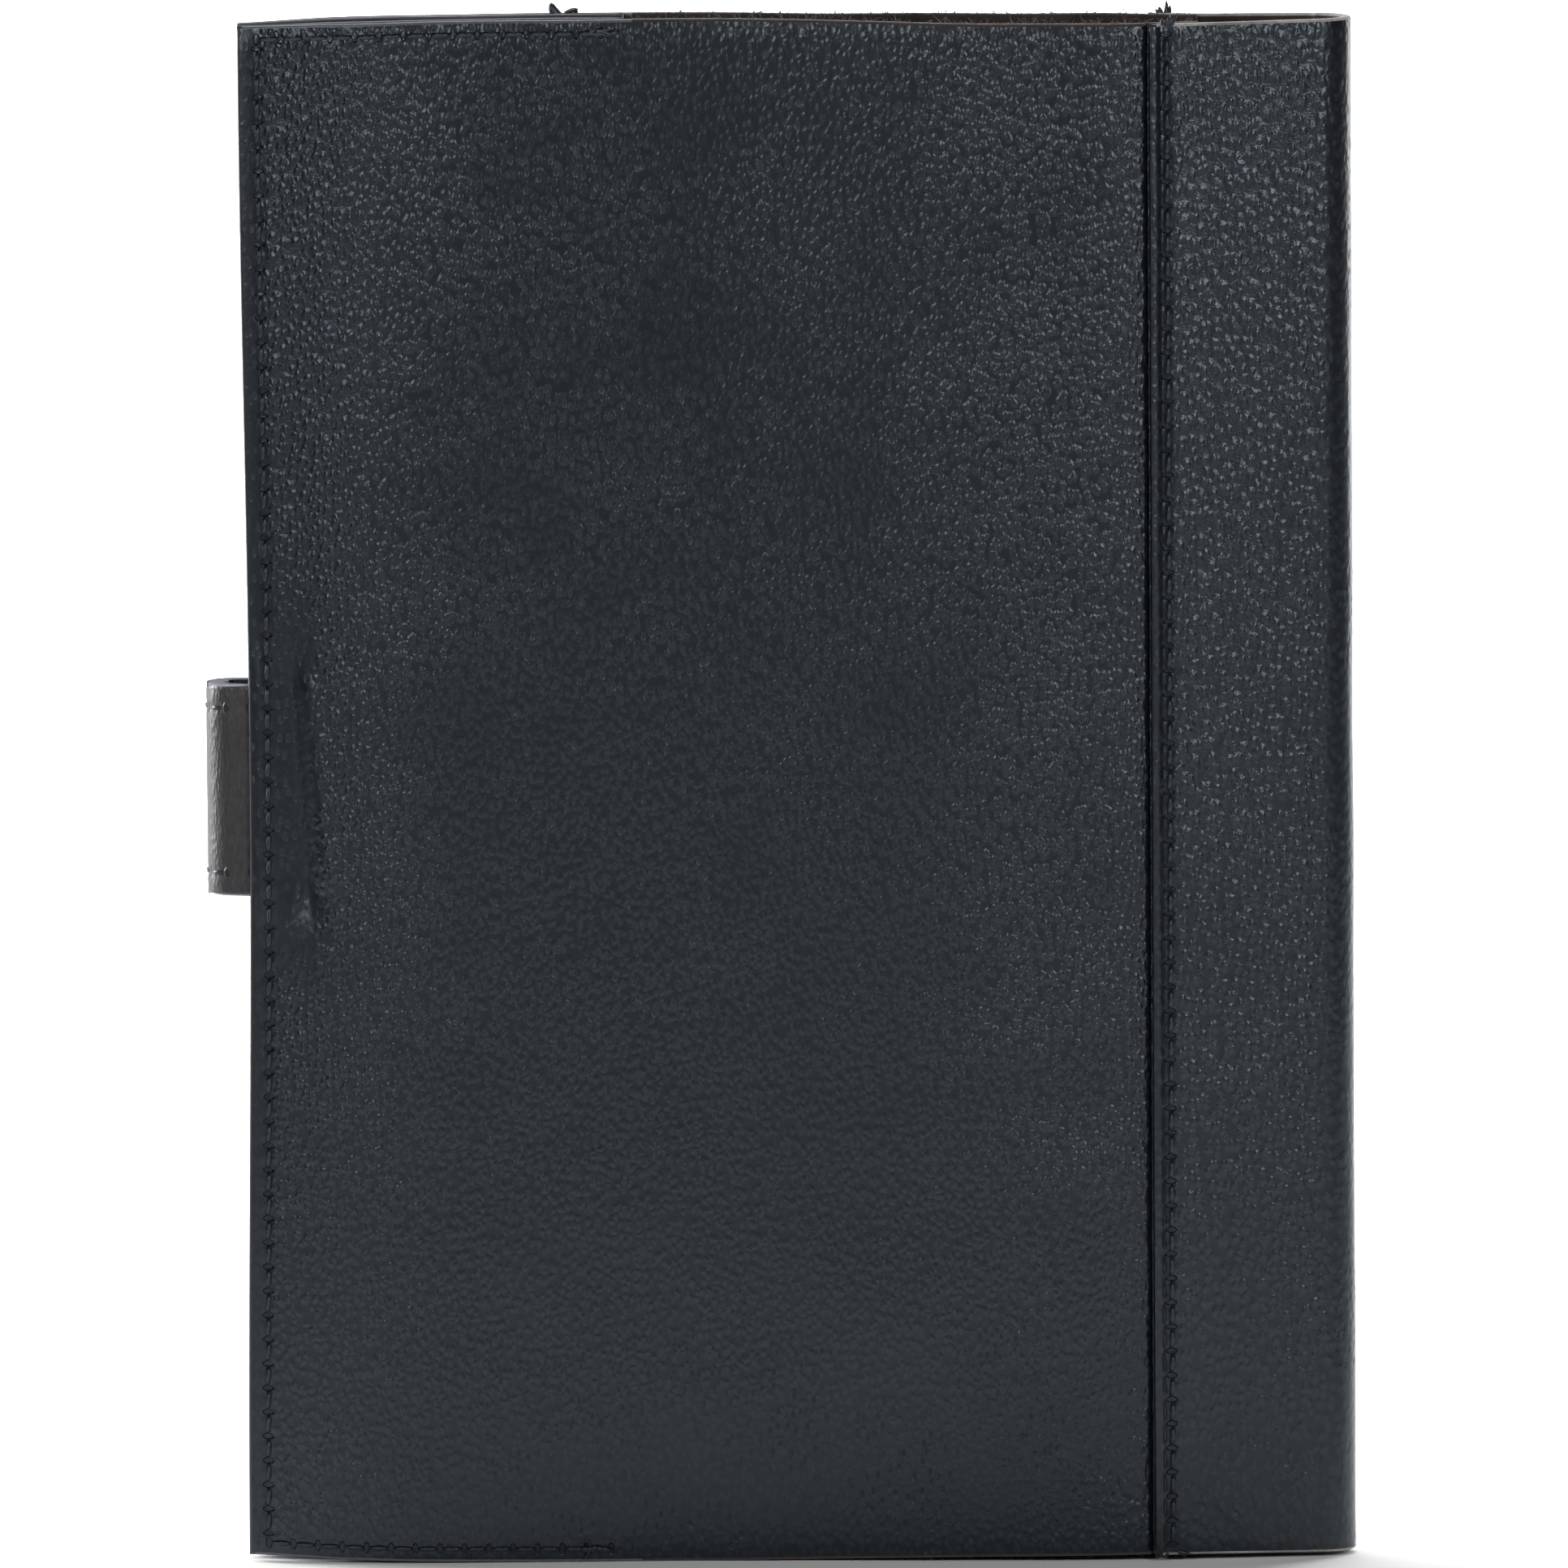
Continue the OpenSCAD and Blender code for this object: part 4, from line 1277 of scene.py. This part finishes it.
class COVER_OT_snap(Operator):
    """Makes the snap's cap dome, and gives the socket, stud, post and patch their finishes"""

    bl_idname = "cover.snap"
    bl_label = "Snap"

    def execute(self, context):
        colours = context.scene.cover_colours
        metal = plated_snap("dark_nickel_plate", colours.metal)
        # the cap's dome: shares of its radius, and heights in millimetres
        x, z = (cap_low.x + cap_high.x) / 2, (cap_low.z + cap_high.z) / 2
        r = (cap_high.x - cap_low.x) / 2
        base = cap_high.y - 1.3 * MM
        dome = [
            (0.0, 1.28), (0.30, 1.26), (0.55, 1.20), (0.74, 1.08), (0.86, 0.90), (0.93, 0.66), (0.975, 0.42),
            (1.0, 0.22), (0.99, 0.06), (0.95, 0.0), (0.90, 0.05), (0.45, 0.05), (0.0, 0.05)
        ]
        made = turned_piece(
            "snap_cap_dome", [(k * r, h * MM) for k, h in dome], Vector((x, base, z)), [metal]
        )
        stand_in(made, "strap_tail", ["snap_cap"])
        finishes = {node: metal for node in ("snap_socket", "snap_stud", "snap_post")}
        finishes["snap_patch"] = suede("suede_patch", shaded(colours.flesh, 1.5))
        for node, finish in finishes.items():
            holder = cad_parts[node]
            holder.data.materials.clear()
            holder.data.materials.append(finish)
        return {"FINISHED"}


# ---- stage ----

# Width of the camera's sensor, in millimetres.
SENSOR_W = 36.0


class COVER_OT_stage(Operator):
    """Sets the floor, the soft lights and the camera"""

    bl_idname = "cover.stage"
    bl_label = "Stage"

    def execute(self, context):
        scene = context.scene
        studio = scene.cover_studio
        scene.view_settings.view_transform = "Standard"
        made, _, shader = new_material("pale_floor")
        shader.inputs["Base Color"].default_value = (0.9, 0.9, 0.9, 1.0)
        shader.inputs["Roughness"].default_value = 0.9
        shader.inputs["Specular IOR Level"].default_value = 0.0
        bm = bmesh.new()
        bmesh.ops.create_grid(bm, x_segments=2, y_segments=2, size=8.0)
        floor = finish_piece("floor", bm, [made])
        floor.location.z = -0.02 * MM
        world = scene.world or bpy.data.worlds.new("room")
        scene.world = world
        world.use_nodes = True
        world.node_tree.nodes.clear()
        room = add_node(
            world.node_tree, "ShaderNodeBackground", {"Color": (1.0, 1.0, 1.0, 1.0), "Strength": studio.room}
        )
        add_node(world.node_tree, "ShaderNodeOutputWorld", {"Surface": room.outputs[0]})
        centre = Vector((0.9 * MM, 0.0, 111.4 * MM))
        boxes = (
            ("left_box", Vector((-0.28, -0.62, 0.33)), studio.left, 0.16, 0.20, 180),
            ("right_box", Vector((0.33, -0.60, 0.32)), studio.right, 0.16, 0.20, 180),
            ("left_rim_box", Vector((-0.66, 0.22, 0.30)), studio.rim, 0.25, 0.5, 75),
            ("right_rim_box", Vector((0.45, 0.42, 0.30)), 0.22 * studio.rim, 0.25, 0.5, 75),
            ("back_box", Vector((0.0, 1.5, 1.5)), studio.back, 1.6, 2.4, 65),
        )
        for name, spot, power, wide, tall, spread in boxes:
            lamp = bpy.data.lights.new(name, "AREA")
            lamp.shape = "RECTANGLE"
            lamp.size, lamp.size_y = wide, tall
            lamp.energy = power
            holder = bpy.data.objects.new(name, lamp)
            holder.location = spot
            aim = Vector((0, 0, -1)) if name == "back_box" else centre - spot
            holder.rotation_euler = aim.to_track_quat("-Z", "Y").to_euler()
            lamp.spread = math.radians(spread)
            scene.collection.objects.link(holder)
        eye = bpy.data.cameras.new("camera")
        eye.sensor_width = SENSOR_W
        eye.lens = studio.lens
        distance = studio.view_w * studio.lens / SENSOR_W
        eye.clip_start, eye.clip_end = 0.1, 50.0
        camera = bpy.data.objects.new("camera", eye)
        rise = studio.elevation
        camera.location = centre + distance * Vector((0, -math.cos(rise), math.sin(rise)))
        camera.rotation_euler = (
            Matrix.Rotation(math.pi / 2 - rise, 3, "X") @ Matrix.Rotation(-studio.roll, 3, "Z")
        ).to_euler()
        scene.collection.objects.link(camera)
        scene.camera = camera
        return {"FINISHED"}


class COVER_PT_maker(Panel):
    bl_idname = "COVER_PT_maker"
    bl_label = "Notebook Cover"
    bl_space_type = "VIEW_3D"
    bl_region_type = "UI"
    bl_category = "Cover"

    def draw(self, context):
        for group in (context.scene.cover_sizes, context.scene.cover_colours, context.scene.cover_studio):
            box = self.layout.box()
            for name in group.__annotations__:
                box.prop(group, name)
        for operator in OPERATORS:
            self.layout.operator(operator.bl_idname)


OPERATORS = (
    COVER_OT_stage, COVER_OT_panels, COVER_OT_pockets, COVER_OT_spine,
    COVER_OT_strap, COVER_OT_stitching, COVER_OT_fibres, COVER_OT_snap,
)
GROUPS = (("cover_sizes", CoverSizes), ("cover_colours", CoverColours), ("cover_studio", StudioSettings))


def register():
    for name, group in GROUPS:
        bpy.utils.register_class(group)
        setattr(bpy.types.Scene, name, PointerProperty(type=group))
    for made in OPERATORS + (COVER_PT_maker,):
        bpy.utils.register_class(made)


def unregister():
    for made in reversed(OPERATORS + (COVER_PT_maker,)):
        bpy.utils.unregister_class(made)
    for name, group in reversed(GROUPS):
        delattr(bpy.types.Scene, name)
        bpy.utils.unregister_class(group)


def main():
    register()
    for name in ("stage", "panels", "pockets", "spine", "strap", "stitching", "fibres", "snap"):
        getattr(bpy.ops.cover, name)()


if __name__ == "__main__":
    main()
